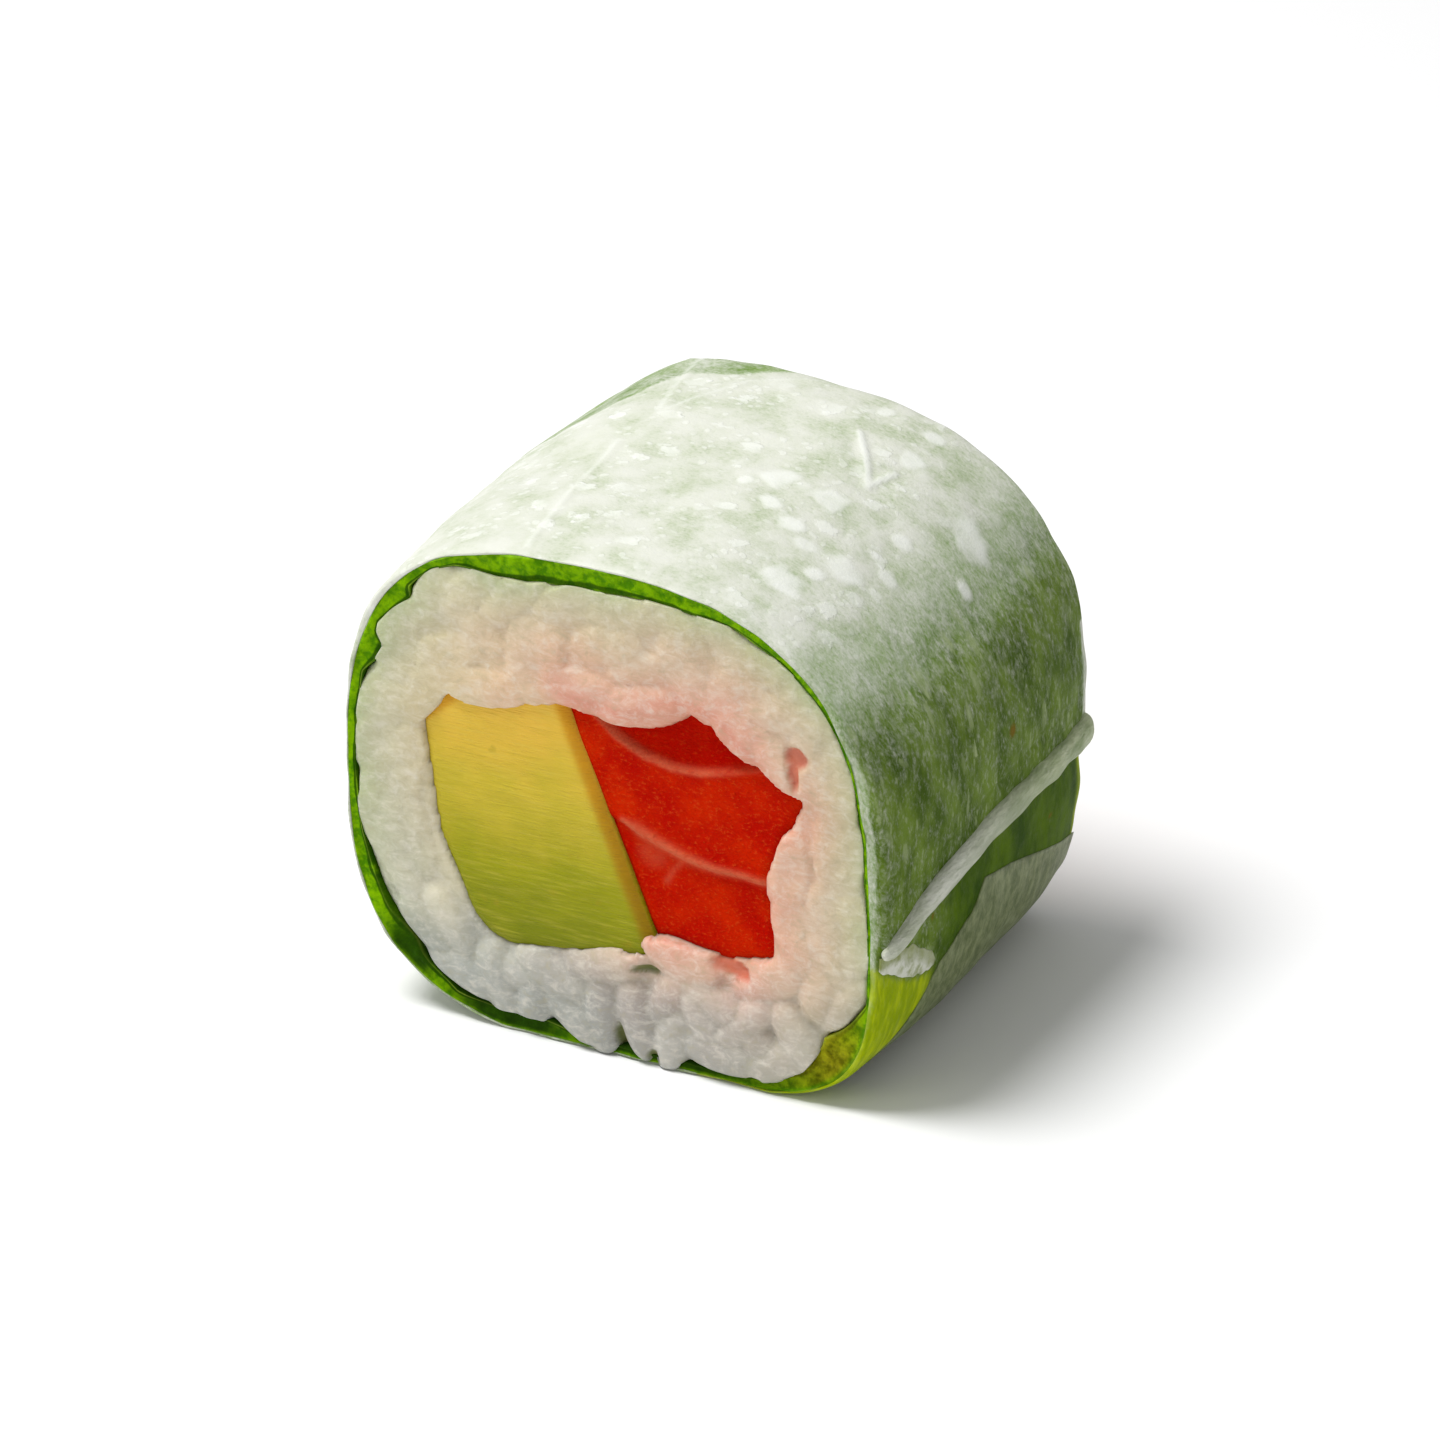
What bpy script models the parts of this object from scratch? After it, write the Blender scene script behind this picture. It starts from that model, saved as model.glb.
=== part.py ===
"""Salmon avocado roll: one cut piece lying on its flattened side, in metres, +Z up.

A stick of salmon and a wedge of avocado lie side by side in pressed sushi rice. A lettuce leaf goes
round the rice, and a softened sheet of rice paper goes round the leaf and overlaps itself at a rolled
hem. The roll's axis runs along Y, the cut face that shows looks to -Y, and the origin is the middle of
the spot that the piece rests on.
"""

import math
import random

import bmesh
import bpy
from mathutils import Matrix, Vector, noise

MM = 0.001

# The whole piece, measured round the outside of the wrap at its cut ends
ROLL_WIDTH = 40.0 * MM
ROLL_HEIGHT = 36.2 * MM
ROLL_LENGTH = 31.0 * MM
HALF_LENGTH = ROLL_LENGTH / 2
BELLY = 0.6 * MM  # how far the wrap bulges between the two cuts

# The outline is a squashed circle whose four quarters are squarer or rounder
CENTRE_HEIGHT = 18.3 * MM
SAG = 0.45 * MM  # what the floor has pressed flat
TOP_RIGHT, TOP_LEFT, BOTTOM_LEFT, BOTTOM_RIGHT = 2.28, 2.93, 2.96, 4.45

# The layers, from outside in
PAPER = 0.5 * MM
LEAF = 0.45 * MM
LAYER_GAP = 0.2 * MM
FILLING_GAP = 0.3 * MM

# The hem, where the sheet of rice paper ends on top of itself
HEM_HEIGHT_FRONT = 12.6 * MM
HEM_HEIGHT_BACK = 14.0 * MM
HEM_WIDTH = 1.3 * MM
HEM_PROUD = 0.6 * MM
OVERLAP = 12.0 * MM  # how far the sheet goes over its own start
OVERLAP_FADE = 3.0 * MM
OVERLAP_STEP = 0.35 * MM

# Thick places of the leaf: direction, half width in degrees, and how much thicker
LEAF_FOLDS = (
    (103, 24, 0.65 * MM),
    (152, 9, 0.9 * MM),
    (-140, 9, 0.5 * MM),
    (-112, 9, 0.5 * MM),
    (-40, 7, 1.5 * MM),
    (12, 16, 0.25 * MM),
)

# Fillings, as corners across the roll: x, z, corner radius
AVOCADO_CORNERS = (
    (-13.9 * MM, 23.6 * MM, 1.4 * MM),
    (-3.9 * MM, 25.7 * MM, 0.9 * MM),
    (3.4 * MM, 8.2 * MM, 1.3 * MM),
    (-9.3 * MM, 6.2 * MM, 3.2 * MM),
    (-13.0 * MM, 14.0 * MM, 5.0 * MM),
)
SALMON_CORNERS = (
    (-3.75 * MM, 26.05 * MM, 0.4 * MM),
    (1.2 * MM, 25.4 * MM, 2.0 * MM),
    (4.7 * MM, 27.7 * MM, 0.9 * MM),
    (7.7 * MM, 27.0 * MM, 0.7 * MM),
    (14.3 * MM, 22.0 * MM, 0.5 * MM),
    (11.4 * MM, 16.0 * MM, 3.0 * MM),
    (12.1 * MM, 9.6 * MM, 1.3 * MM),
    (8.4 * MM, 8.6 * MM, 1.5 * MM),
    (3.15 * MM, 9.6 * MM, 0.6 * MM),
)
AVOCADO_LENGTH = ROLL_LENGTH + 0.2 * MM
SALMON_LENGTH = ROLL_LENGTH - 0.6 * MM
FLAKE_STEP = 0.9 * MM  # how far the upper flake of salmon lies back
LOWER_FLAKE_STEP = 0.3 * MM
CUT_BEVEL = 0.25 * MM
WELD = 0.02 * MM
FLAT_ANGLE = math.radians(0.3)

# Fat lines that part the salmon's flakes: a point on each line, and its direction in degrees
UPPER_FAT_LINE = (4.4 * MM, 22.4 * MM, -2)
LOWER_FAT_LINE = (6.4 * MM, 15.9 * MM, -10)

# Rice
GRAIN_LENGTH = 6.6 * MM
GRAIN_WIDTH = 2.9 * MM
GRAIN_THICKNESS = 2.4 * MM
GRAIN_SPACING = 2.95 * MM
GRAIN_SEGMENTS, GRAIN_RINGS = 6, 5
GRAIN_TRIES = 6000
CORE_STEP = 0.9 * MM  # how far the packed core stays behind the cut
CAVITY_MARGIN = 1.0 * MM  # room in the core for the grains that press on the fillings
SPILL = 0.35 * MM  # past this, grains bulge over the cut edge of the wrap
RICE_SEED = 6

AROUND = 72
STATIONS = (-1, -0.86, -0.45, 0, 0.45, 0.86, 1)


def wrap_point(angle):
    """The wrap's outer edge in that direction from its centre, as x and z."""
    c, s = math.cos(angle), math.sin(angle)
    if s >= 0:
        power, height = (TOP_RIGHT if c >= 0 else TOP_LEFT), ROLL_HEIGHT - CENTRE_HEIGHT
    else:
        power, height = (BOTTOM_LEFT if c < 0 else BOTTOM_RIGHT), CENTRE_HEIGHT + SAG
    radius = (abs(c / (ROLL_WIDTH / 2)) ** power + abs(s / height) ** power) ** (-1 / power)
    return Vector((radius * c, CENTRE_HEIGHT + radius * s))


def wrap_normal(angle):
    step = 0.01
    along = wrap_point(angle + step) - wrap_point(angle - step)
    return Vector((along.y, -along.x)).normalized()


def layer_point(angle, depth, y):
    """A point that deep under the wrap's outer face. The floor flattens every layer's underside."""
    bulge = BELLY * (1 - abs(y / HALF_LENGTH) ** 3)
    p = wrap_point(angle) + wrap_normal(angle) * (bulge - depth)
    return Vector((p.x, y, max(p.y, max(depth, 0))))


def smooth(t):
    t = min(max(t, 0), 1)
    return t * t * (3 - 2 * t)


def leaf_thickness(angle, y):
    total = LEAF
    for direction, half_width, extra in LEAF_FOLDS:
        away = (math.degrees(angle) - direction + 180) % 360 - 180
        total += extra * math.exp(-((away / half_width) ** 2)) * (1 + 0.25 * math.sin(y / (4 * MM)))
    return total + 0.08 * MM * math.sin(9 * angle + y / (3 * MM))


def leaf_depth():
    return PAPER + LAYER_GAP


def rice_depth(angle, y):
    return leaf_depth() + leaf_thickness(angle, y) + LAYER_GAP


def hem_angle(y):
    """The direction of the hem, which climbs a little from the front cut to the back one."""
    t = (y / HALF_LENGTH + 1) / 2
    height = HEM_HEIGHT_FRONT + (HEM_HEIGHT_BACK - HEM_HEIGHT_FRONT) * t
    return math.atan2(height - CENTRE_HEIGHT, ROLL_WIDTH / 2)


def paper_relief(past_hem):
    """How far the paper's outer face stands out, by the distance that it has gone up past the hem."""
    bead = max(0.0, 1 - (past_hem / (HEM_WIDTH / 2)) ** 2) ** 0.5
    second_layer = smooth((past_hem + 0.1 * MM) / (0.2 * MM)) * smooth((OVERLAP - past_hem) / OVERLAP_FADE)
    return max(HEM_PROUD * bead, OVERLAP_STEP * second_layer)


def mesh_object(name, bm, material):
    bmesh.ops.remove_doubles(bm, verts=bm.verts, dist=0.001 * MM)
    bmesh.ops.triangulate(bm, faces=bm.faces)
    bmesh.ops.recalc_face_normals(bm, faces=bm.faces)
    mesh = bpy.data.meshes.new(name)
    bm.to_mesh(mesh)
    bm.free()
    mesh.shade_smooth()
    mesh.set_sharp_from_angle(angle=math.radians(40))
    if material:
        mesh.materials.append(material)
    obj = bpy.data.objects.new(name, mesh)
    bpy.context.scene.collection.objects.link(obj)
    return obj


def make_material(name, colour, roughness):
    material = bpy.data.materials.new(name)
    material.use_nodes = True
    shader = material.node_tree.nodes["Principled BSDF"]
    shader.inputs["Base Color"].default_value = (*colour, 1)
    shader.inputs["Roughness"].default_value = roughness
    shader.inputs["Metallic"].default_value = 0
    return material


def add_sleeve(bm, rings):
    """Joins a row of rings into an open sleeve, and gives its first and last ring."""
    loops = [[bm.verts.new(p) for p in points] for points in rings]
    for before, after in zip(loops, loops[1:]):
        join_rings(bm, before, after)
    return loops[0], loops[-1]


def join_rings(bm, before, after):
    for i in range(len(before)):
        bm.faces.new((before[i - 1], before[i], after[i], after[i - 1]))


def wrapped_layer(name, angles_at, outer_depth, inner_depth, material):
    """A layer of the wrap, closed at both cuts, whose two faces are split alike."""
    bm = bmesh.new()
    ends = []
    for depth in (outer_depth, inner_depth):
        rings = []
        for share in STATIONS:
            y = share * HALF_LENGTH
            rings.append([layer_point(a, depth(a, y), y) for a in angles_at(y)])
        ends.append(add_sleeve(bm, rings))
    (front, back), (front_inside, back_inside) = ends
    join_rings(bm, front, front_inside)
    join_rings(bm, back, back_inside)
    return mesh_object(name, bm, material)


def even_angles(y):
    return [2 * math.pi * i / AROUND for i in range(AROUND)]


def hem_angles(y):
    """Even steps round the roll from the hem, with close ones over the hem's round bead."""
    start = hem_angle(y)
    reach = ROLL_WIDTH / 2
    bead_steps = [(-1 + i / 3) * HEM_WIDTH / 2 / reach for i in range(7)]
    bead_steps[0] -= 0.05 * MM / reach
    first, last = 0.06, 2 * math.pi - 0.06
    count = AROUND - len(bead_steps)
    rest = [first + (last - first) * i / (count - 1) for i in range(count)]
    return [start + a for a in bead_steps + rest]


def make_rice_paper():
    def outer(angle, y):
        turned = (angle - hem_angle(y) + math.pi / 2) % (2 * math.pi) - math.pi / 2
        return -paper_relief(turned * ROLL_WIDTH / 2)

    return wrapped_layer(
        "rice_paper",
        hem_angles,
        outer,
        lambda angle, y: PAPER,
        make_material("rice_paper", (0.62, 0.72, 0.52), 0.3),
    )


def make_lettuce():
    return wrapped_layer(
        "lettuce",
        even_angles,
        lambda angle, y: leaf_depth(),
        lambda angle, y: leaf_depth() + leaf_thickness(angle, y),
        make_material("lettuce", (0.13, 0.36, 0.02), 0.4),
    )


def rounded_outline(corners, grow=0.0, arc_steps=3):
    """A closed outline through corners given clockwise, each turned by an arc, grown outwards by a set amount."""
    points = []
    for i, (x, z, radius) in enumerate(corners):
        corner = Vector((x, z))
        before = (Vector(corners[i - 1][:2]) - corner).normalized()
        after = (Vector(corners[(i + 1) % len(corners)][:2]) - corner).normalized()
        half = before.angle(after) / 2
        inwards = (before + after).normalized()
        centre = corner + inwards * (radius / math.sin(half))
        outward_turn = before.x * after.y - before.y * after.x > 0
        start = corner + before * (radius / math.tan(half)) - centre
        end = corner + after * (radius / math.tan(half)) - centre
        reach = radius + grow if outward_turn else max(radius - grow, 0.05 * MM)
        for step in range(arc_steps + 1):
            spoke = start.slerp(end, step / arc_steps).normalized()
            points.append(centre + spoke * reach)
    return points


def add_prism(bm, outline, half_length, grid=1):
    """A straight solid along Y between two flat ends."""
    rings = []
    for i in range(grid + 1):
        y = -half_length + 2 * half_length * i / grid
        rings.append([(p.x, y, p.y) for p in outline])
    for ring in add_sleeve(bm, rings):
        bm.faces.new(ring)


def prism_object(name, outline, half_length, material=None, bevel=0.0):
    bm = bmesh.new()
    add_prism(bm, outline, half_length)
    if bevel:
        rims = [e for e in bm.edges if abs(e.verts[0].co.y - e.verts[1].co.y) < 0.01 * MM]
        bmesh.ops.bevel(bm, geom=rims, offset=bevel, segments=1, profile=0.5, affect="EDGES", material=-1)
    return mesh_object(name, bm, material)


def boolean(target, other, operation):
    """Applies one Boolean with an object or a collection, and removes what it used."""
    modifier = target.modifiers.new("join", "BOOLEAN")
    modifier.operation = operation
    modifier.solver = "MANIFOLD"
    if isinstance(other, bpy.types.Collection):
        modifier.operand_type = "COLLECTION"
        modifier.collection = other
    else:
        modifier.object = other
    bpy.context.view_layer.update()
    evaluated = target.evaluated_get(bpy.context.evaluated_depsgraph_get())
    mesh = bpy.data.meshes.new_from_object(evaluated)
    target.modifiers.clear()
    target.data = mesh
    if isinstance(other, bpy.types.Collection):
        for obj in list(other.objects):
            bpy.data.objects.remove(obj)
        bpy.data.collections.remove(other)
    else:
        bpy.data.objects.remove(other)


def weld_slivers(obj):
    """Closes up the hair-thin triangles that the Booleans leave."""
    bm = bmesh.new()
    bm.from_mesh(obj.data)
    bmesh.ops.dissolve_limit(bm, angle_limit=FLAT_ANGLE, verts=bm.verts[:], edges=bm.edges[:])
    bmesh.ops.triangulate(bm, faces=bm.faces[:])
    bmesh.ops.remove_doubles(bm, verts=bm.verts[:], dist=WELD)
    bmesh.ops.dissolve_degenerate(bm, edges=bm.edges[:], dist=WELD)
    bmesh.ops.triangulate(bm, faces=bm.faces[:])
    bm.to_mesh(obj.data)
    bm.free()


def make_avocado():
    material = make_material("avocado", (0.62, 0.55, 0.1), 0.5)
    return prism_object("avocado", rounded_outline(AVOCADO_CORNERS), AVOCADO_LENGTH / 2, material, CUT_BEVEL)


def line_cutter(name, line, above, y_low, y_high):
    """A block on one side of a fat line, to set that flake's end back."""
    x, z, degrees = line
    size = ROLL_WIDTH
    bm = bmesh.new()
    bmesh.ops.create_cube(bm, size=1)
    side = 1 if above else -1
    placed = (
        Matrix.Translation((x, (y_low + y_high) / 2, z))
        @ Matrix.Rotation(-math.radians(degrees), 4, "Y")
        @ Matrix.Translation((0, 0, side * size / 2))
        @ Matrix.Diagonal((size, y_high - y_low, size, 1))
    )
    bmesh.ops.transform(bm, matrix=placed, verts=bm.verts)
    return mesh_object(name, bm, None)


def make_salmon():
    material = make_material("salmon", (0.62, 0.035, 0.01), 0.3)
    half = SALMON_LENGTH / 2
    salmon = prism_object("salmon", rounded_outline(SALMON_CORNERS), half, material, CUT_BEVEL)
    for line, above, step in (
        (UPPER_FAT_LINE, True, FLAKE_STEP),
        (LOWER_FAT_LINE, False, LOWER_FLAKE_STEP),
    ):
        for side in (-1, 1):
            near, far = half - step, half + 2 * MM
            low, high = (near, far) if side > 0 else (-far, -near)
            boolean(salmon, line_cutter("flake_cutter", line, above, low, high), "DIFFERENCE")
    weld_slivers(salmon)
    return salmon


def inside(point, outline):
    """Whether an x, z point lies in a closed outline."""
    hit = False
    for i, b in enumerate(outline):
        a = outline[i - 1]
        if (a.y > point.y) != (b.y > point.y):
            if point.x < a.x + (point.y - a.y) * (b.x - a.x) / (b.y - a.y):
                hit = not hit
    return hit


def rice_outline(y, extra=0.0):
    ring = [layer_point(a, rice_depth(a, y) + extra, y) for a in even_angles(y)]
    return [Vector((p.x, p.z)) for p in ring]


def fillings_outlines(grow):
    return [rounded_outline(corners, grow) for corners in (AVOCADO_CORNERS, SALMON_CORNERS)]


def grain_spots(rng):
    """Places for the grains of one cut face, no closer than the set spacing."""
    rim = rice_outline(HALF_LENGTH, 0.5 * MM)
    holes = fillings_outlines(0.9 * MM)
    spots = []
    for _ in range(GRAIN_TRIES):
        p = Vector((rng.uniform(-0.5, 0.5) * ROLL_WIDTH, rng.uniform(0, 1) * ROLL_HEIGHT))
        if not inside(p, rim) or any(inside(p, hole) for hole in holes):
            continue
        if all((p - q).length > GRAIN_SPACING for q in spots):
            spots.append(p)
    return spots


def add_grain(collection, rng, spot, side):
    """One cooked grain, its long way mostly in the cut face, its top a little proud of the cut."""
    bm = bmesh.new()
    bmesh.ops.create_uvsphere(bm, u_segments=GRAIN_SEGMENTS, v_segments=GRAIN_RINGS, radius=0.5)
    size = rng.uniform(0.88, 1.1)
    end_on = rng.random() < 0.25
    tilt = math.radians(rng.uniform(50, 75) if end_on else rng.uniform(-18, 18))
    # Grains near the floor stand out of the cut further than the smeared ones at the top
    low_down = 1 - smooth(spot.y / (0.45 * ROLL_HEIGHT))
    proud = rng.uniform(0.0, 0.45) * MM + 0.55 * MM * low_down
    half_height = abs(math.sin(tilt)) * GRAIN_LENGTH / 2 + abs(math.cos(tilt)) * GRAIN_THICKNESS / 2
    depth = HALF_LENGTH + proud - half_height * size
    placed = (
        Matrix.Translation((spot.x, side * depth, spot.y))
        @ Matrix.Rotation(rng.uniform(0, math.pi), 4, "Y")
        @ Matrix.Rotation(tilt, 4, "Z")
        @ Matrix.Diagonal((GRAIN_LENGTH * size, GRAIN_THICKNESS * size, GRAIN_WIDTH * size, 1))
        @ Matrix.Rotation(math.pi / 2, 4, "Y")
    )
    bmesh.ops.transform(bm, matrix=placed, verts=bm.verts)
    grain = mesh_object("grain", bm, None)
    bpy.context.scene.collection.objects.unlink(grain)
    collection.objects.link(grain)


def rice_limit():
    """The space open to rice: inside the leaf, and over the wrap's edge only past the cut."""
    past = HALF_LENGTH + SPILL
    far = HALF_LENGTH + 3 * MM
    sections = [(-far, False), (-past, False), (-past, True)]
    sections += [(share * HALF_LENGTH, True) for share in STATIONS[1:-1]]
    sections += [(past, True), (past, False), (far, False)]
    rings = []
    for y, under_leaf in sections:
        held = min(max(y, -HALF_LENGTH), HALF_LENGTH)
        ring = []
        for a in even_angles(held):
            depth = rice_depth(a, held) if under_leaf else 0.1 * MM
            p = layer_point(a, depth, held)
            ring.append((p.x, y, p.z))
        rings.append(ring)
    bm = bmesh.new()
    for ring in add_sleeve(bm, rings):
        bm.faces.new(ring)
    return mesh_object("rice_limit", bm, None)


def make_rice():
    """A packed core with a hole for the fillings, and whole grains fused on both cut faces."""
    rice = prism_object("rice", rice_outline(HALF_LENGTH, -BELLY), HALF_LENGTH - CORE_STEP)
    for outline in fillings_outlines(CAVITY_MARGIN):
        boolean(rice, prism_object("cavity", outline, ROLL_LENGTH), "DIFFERENCE")
    rng = random.Random(RICE_SEED)
    grains = bpy.data.collections.new("grains")
    bpy.context.scene.collection.children.link(grains)
    for side in (-1, 1):
        for spot in grain_spots(rng):
            add_grain(grains, rng, spot, side)
    boolean(rice, grains, "UNION")
    boolean(rice, rice_limit(), "INTERSECT")
    for outline in fillings_outlines(FILLING_GAP):
        boolean(rice, prism_object("cavity", outline, ROLL_LENGTH), "DIFFERENCE")
    weld_slivers(rice)
    rice.data.materials.clear()
    rice.data.materials.append(make_material("rice", (0.8, 0.78, 0.68), 0.45))
    return rice


def main():
    for obj in list(bpy.data.objects):
        bpy.data.objects.remove(obj)
    make_rice_paper()
    make_lettuce()
    make_rice()
    make_avocado()
    make_salmon()


main()
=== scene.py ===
import math
import random

import bmesh
import bpy
import numpy
from mathutils import Matrix, Vector, noise


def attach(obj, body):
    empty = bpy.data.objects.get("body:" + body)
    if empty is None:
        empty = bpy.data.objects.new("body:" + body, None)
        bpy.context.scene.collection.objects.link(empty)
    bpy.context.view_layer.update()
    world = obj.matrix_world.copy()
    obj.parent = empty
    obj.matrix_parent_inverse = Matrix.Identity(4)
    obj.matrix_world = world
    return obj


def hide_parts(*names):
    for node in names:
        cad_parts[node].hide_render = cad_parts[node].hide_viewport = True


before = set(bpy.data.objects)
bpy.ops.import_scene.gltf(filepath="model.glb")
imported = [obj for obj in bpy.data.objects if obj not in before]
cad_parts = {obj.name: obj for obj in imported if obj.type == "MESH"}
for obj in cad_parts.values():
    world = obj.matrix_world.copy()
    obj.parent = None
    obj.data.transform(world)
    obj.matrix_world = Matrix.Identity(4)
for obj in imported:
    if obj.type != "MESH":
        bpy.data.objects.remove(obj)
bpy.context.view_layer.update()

# Avocado. A wedge of ripe flesh cut lengthwise, yellow by the stone and green by the skin. It runs the
# whole roll, and its ends were sliced with the roll: nearly flat, with faint streaks from the knife.
MM = 0.001
HALF_LENGTH = 15.5 * MM
AVOCADO_CORNERS = (
    (-14.6, 23.0, 1.2),
    (-12.4, 25.3, 0.8),
    (-3.85, 26.1, 0.5),
    (3.5, 7.8, 1.3),
    (-9.7, 5.8, 3.6),
    (-13.3, 13.6, 6.0),
)
AVOCADO_END = 15.1 * MM
AVOCADO_VOXEL = 0.24 * MM


def srgb(red, green, blue):
    """A colour as a screen shows it, 0 to 255, made linear for a shader."""
    linear = [(c / 255 / 12.92) if c < 10.3 else ((c / 255 + 0.055) / 1.055) ** 2.4 for c in (red, green, blue)]
    return (*linear, 1)


class Wire:
    """One output of a finish's node: a sum on it adds the Math nodes that work it out."""

    def __init__(self, finish, socket):
        self.finish = finish
        self.socket = socket

    def math(self, operation, *others):
        return self.finish.node("ShaderNodeMath", {"operation": operation}, (self, *others))

    def __add__(self, other):
        return self.math("ADD", other)

    def __mul__(self, other):
        return self.math("MULTIPLY", other)

    __radd__ = __add__
    __rmul__ = __mul__

    def __sub__(self, other):
        return self.math("SUBTRACT", other)

    def __rsub__(self, other):
        return self * -1 + other

    def rise(self, low, high):
        """0 up to low, 1 from high, and a smooth rise between."""
        settings = {"interpolation_type": "SMOOTHSTEP"}
        return self.finish.node("ShaderNodeMapRange", settings, (self, low, high, 0, 1))

    def fit(self):
        return self.finish.node("ShaderNodeClamp", {}, (self, 0, 1))


class Finish:
    """A material: constants go on the shader's own sockets, and patterns are wired to them."""

    def __init__(self, name, **constants):
        self.material = bpy.data.materials.new(name)
        self.material.use_nodes = True
        self.tree = self.material.node_tree
        self.shader = self.tree.nodes["Principled BSDF"]
        for socket, value in constants.items():
            self.shader.inputs[socket.replace("_", " ")].default_value = value

    def node(self, kind, settings, sockets, output=0):
        node = self.tree.nodes.new(kind)
        for name, value in settings.items():
            if name == "stops":
                while len(node.color_ramp.elements) < len(value):
                    node.color_ramp.elements.new(0.5)
                for element, (position, colour) in zip(node.color_ramp.elements, value):
                    element.position = position
                    element.color = colour
            else:
                setattr(node, name, value)
        named = sockets.items() if isinstance(sockets, dict) else enumerate(sockets)
        for name, value in named:
            if isinstance(value, Wire):
                self.tree.links.new(value.socket, node.inputs[name])
            else:
                node.inputs[name].default_value = value
        return Wire(self, node.outputs[output])

    def wire(self, socket, wire):
        self.tree.links.new(wire.socket, self.shader.inputs[socket])

    def place(self, stretch=(1, 1, 1)):
        """Object coordinates in millimetres, stretched."""
        coordinates = self.node("ShaderNodeTexCoord", {}, (), "Object")
        scale = tuple(1000 * s for s in stretch)
        return self.node("ShaderNodeVectorMath", {"operation": "MULTIPLY"}, (coordinates, scale))

    def attribute(self, name):
        return self.node("ShaderNodeAttribute", {"attribute_name": name}, (), "Fac")

    def mottle(self, place, scale, detail=3, roughness=0.5, distortion=0):
        sockets = {"Vector": place, "Scale": scale, "Detail": detail, "Roughness": roughness}
        sockets["Distortion"] = distortion
        return self.node("ShaderNodeTexNoise", {}, sockets)

    def spots(self, place, scale, feature="F1", output="Distance"):
        return self.node("ShaderNodeTexVoronoi", {"feature": feature}, {"Vector": place, "Scale": scale}, output)

    def mix(self, share, first, second, blend="MIX"):
        settings = {"data_type": "RGBA", "blend_type": blend}
        return self.node("ShaderNodeMix", settings, {0: share, 6: first, 7: second}, 2)

    def ramp(self, share, *stops):
        return self.node("ShaderNodeValToRGB", {"stops": stops}, {"Fac": share}, "Color")

    def bumps(self, height, depth, normal=None):
        sockets = {"Height": height, "Distance": depth}
        if normal:
            sockets["Normal"] = normal
        return self.node("ShaderNodeBump", {}, sockets, "Normal")


def rounded(corners, steps=8):
    """A closed outline in millimetres through corners given clockwise as x, z and radius."""
    points = []
    for i, (x, z, radius) in enumerate(corners):
        corner = Vector((x, z))
        before = (Vector(corners[i - 1][:2]) - corner).normalized()
        after = (Vector(corners[(i + 1) % len(corners)][:2]) - corner).normalized()
        half = before.angle(after) / 2
        centre = corner + (before + after).normalized() * (radius / math.sin(half))
        start = corner + before * (radius / math.tan(half)) - centre
        end = corner + after * (radius / math.tan(half)) - centre
        for step in range(steps + 1):
            points.append(tuple(centre + start.slerp(end, step / steps).normalized() * radius))
    return numpy.array(points)


def distance_to(points, line, closed=True):
    """How far each x, z point is from a line through points, all in millimetres."""
    starts = numpy.array(line if closed else line[:-1], float)
    ends = numpy.roll(starts, -1, axis=0) if closed else numpy.array(line[1:], float)
    nearest = numpy.full(len(points), 1e9)
    for a, b in zip(starts, ends):
        along = b - a
        share = numpy.clip(((points - a) @ along) / max(along @ along, 1e-9), 0, 1)
        nearest = numpy.minimum(nearest, numpy.hypot(*(points - a - share[:, None] * along).T))
    return nearest


def within(points, outline):
    hit = numpy.zeros(len(points), bool)
    for (ax, az), (bx, bz) in zip(numpy.roll(outline, 1, axis=0), outline):
        if az == bz:
            continue
        crosses = (az > points[:, 1]) != (bz > points[:, 1])
        hit ^= crosses & (points[:, 0] < ax + (points[:, 1] - az) * (bx - ax) / (bz - az))
    return hit


def ramp_up(values, low, high):
    t = numpy.clip((values - low) / (high - low), 0, 1)
    return t * t * (3 - 2 * t)


def wrinkle(points, size, seed):
    """Smooth noise from -1 to 1 over points in metres, with features of about that size."""
    shift = Vector((seed * 7.3, seed * 3.1, seed * 5.7))
    return numpy.array([noise.noise(Vector(p) / size + shift) for p in points])


def mesh_piece(name, bm, material, node=None):
    mesh = bpy.data.meshes.new(name)
    bm.to_mesh(mesh)
    bm.free()
    mesh.shade_smooth()
    mesh.materials.append(material)
    piece = bpy.data.objects.new(name, mesh)
    bpy.context.scene.collection.objects.link(piece)
    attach(piece, "root")
    if node:
        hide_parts(node)
    return piece


def remesh(piece, voxel):
    """Fuses what a piece holds into one even skin."""
    modifier = piece.modifiers.new("fuse", "REMESH")
    modifier.mode = "VOXEL"
    modifier.voxel_size = voxel
    modifier.use_smooth_shade = True
    depsgraph = bpy.context.evaluated_depsgraph_get()
    fused = bpy.data.meshes.new_from_object(piece.evaluated_get(depsgraph))
    piece.modifiers.clear()
    materials = list(piece.data.materials)
    piece.data = fused
    fused.materials.clear()
    for material in materials:
        fused.materials.append(material)


def points_of(piece):
    flat = numpy.empty(len(piece.data.vertices) * 3)
    piece.data.vertices.foreach_get("co", flat)
    return flat.reshape(-1, 3)


def set_points(piece, points):
    piece.data.vertices.foreach_set("co", points.ravel())
    piece.data.update()


def paint(piece, name, values):
    layer = piece.data.attributes.new(name, "FLOAT", "POINT")
    layer.data.foreach_set("value", numpy.ascontiguousarray(values, dtype=numpy.float32))


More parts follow.
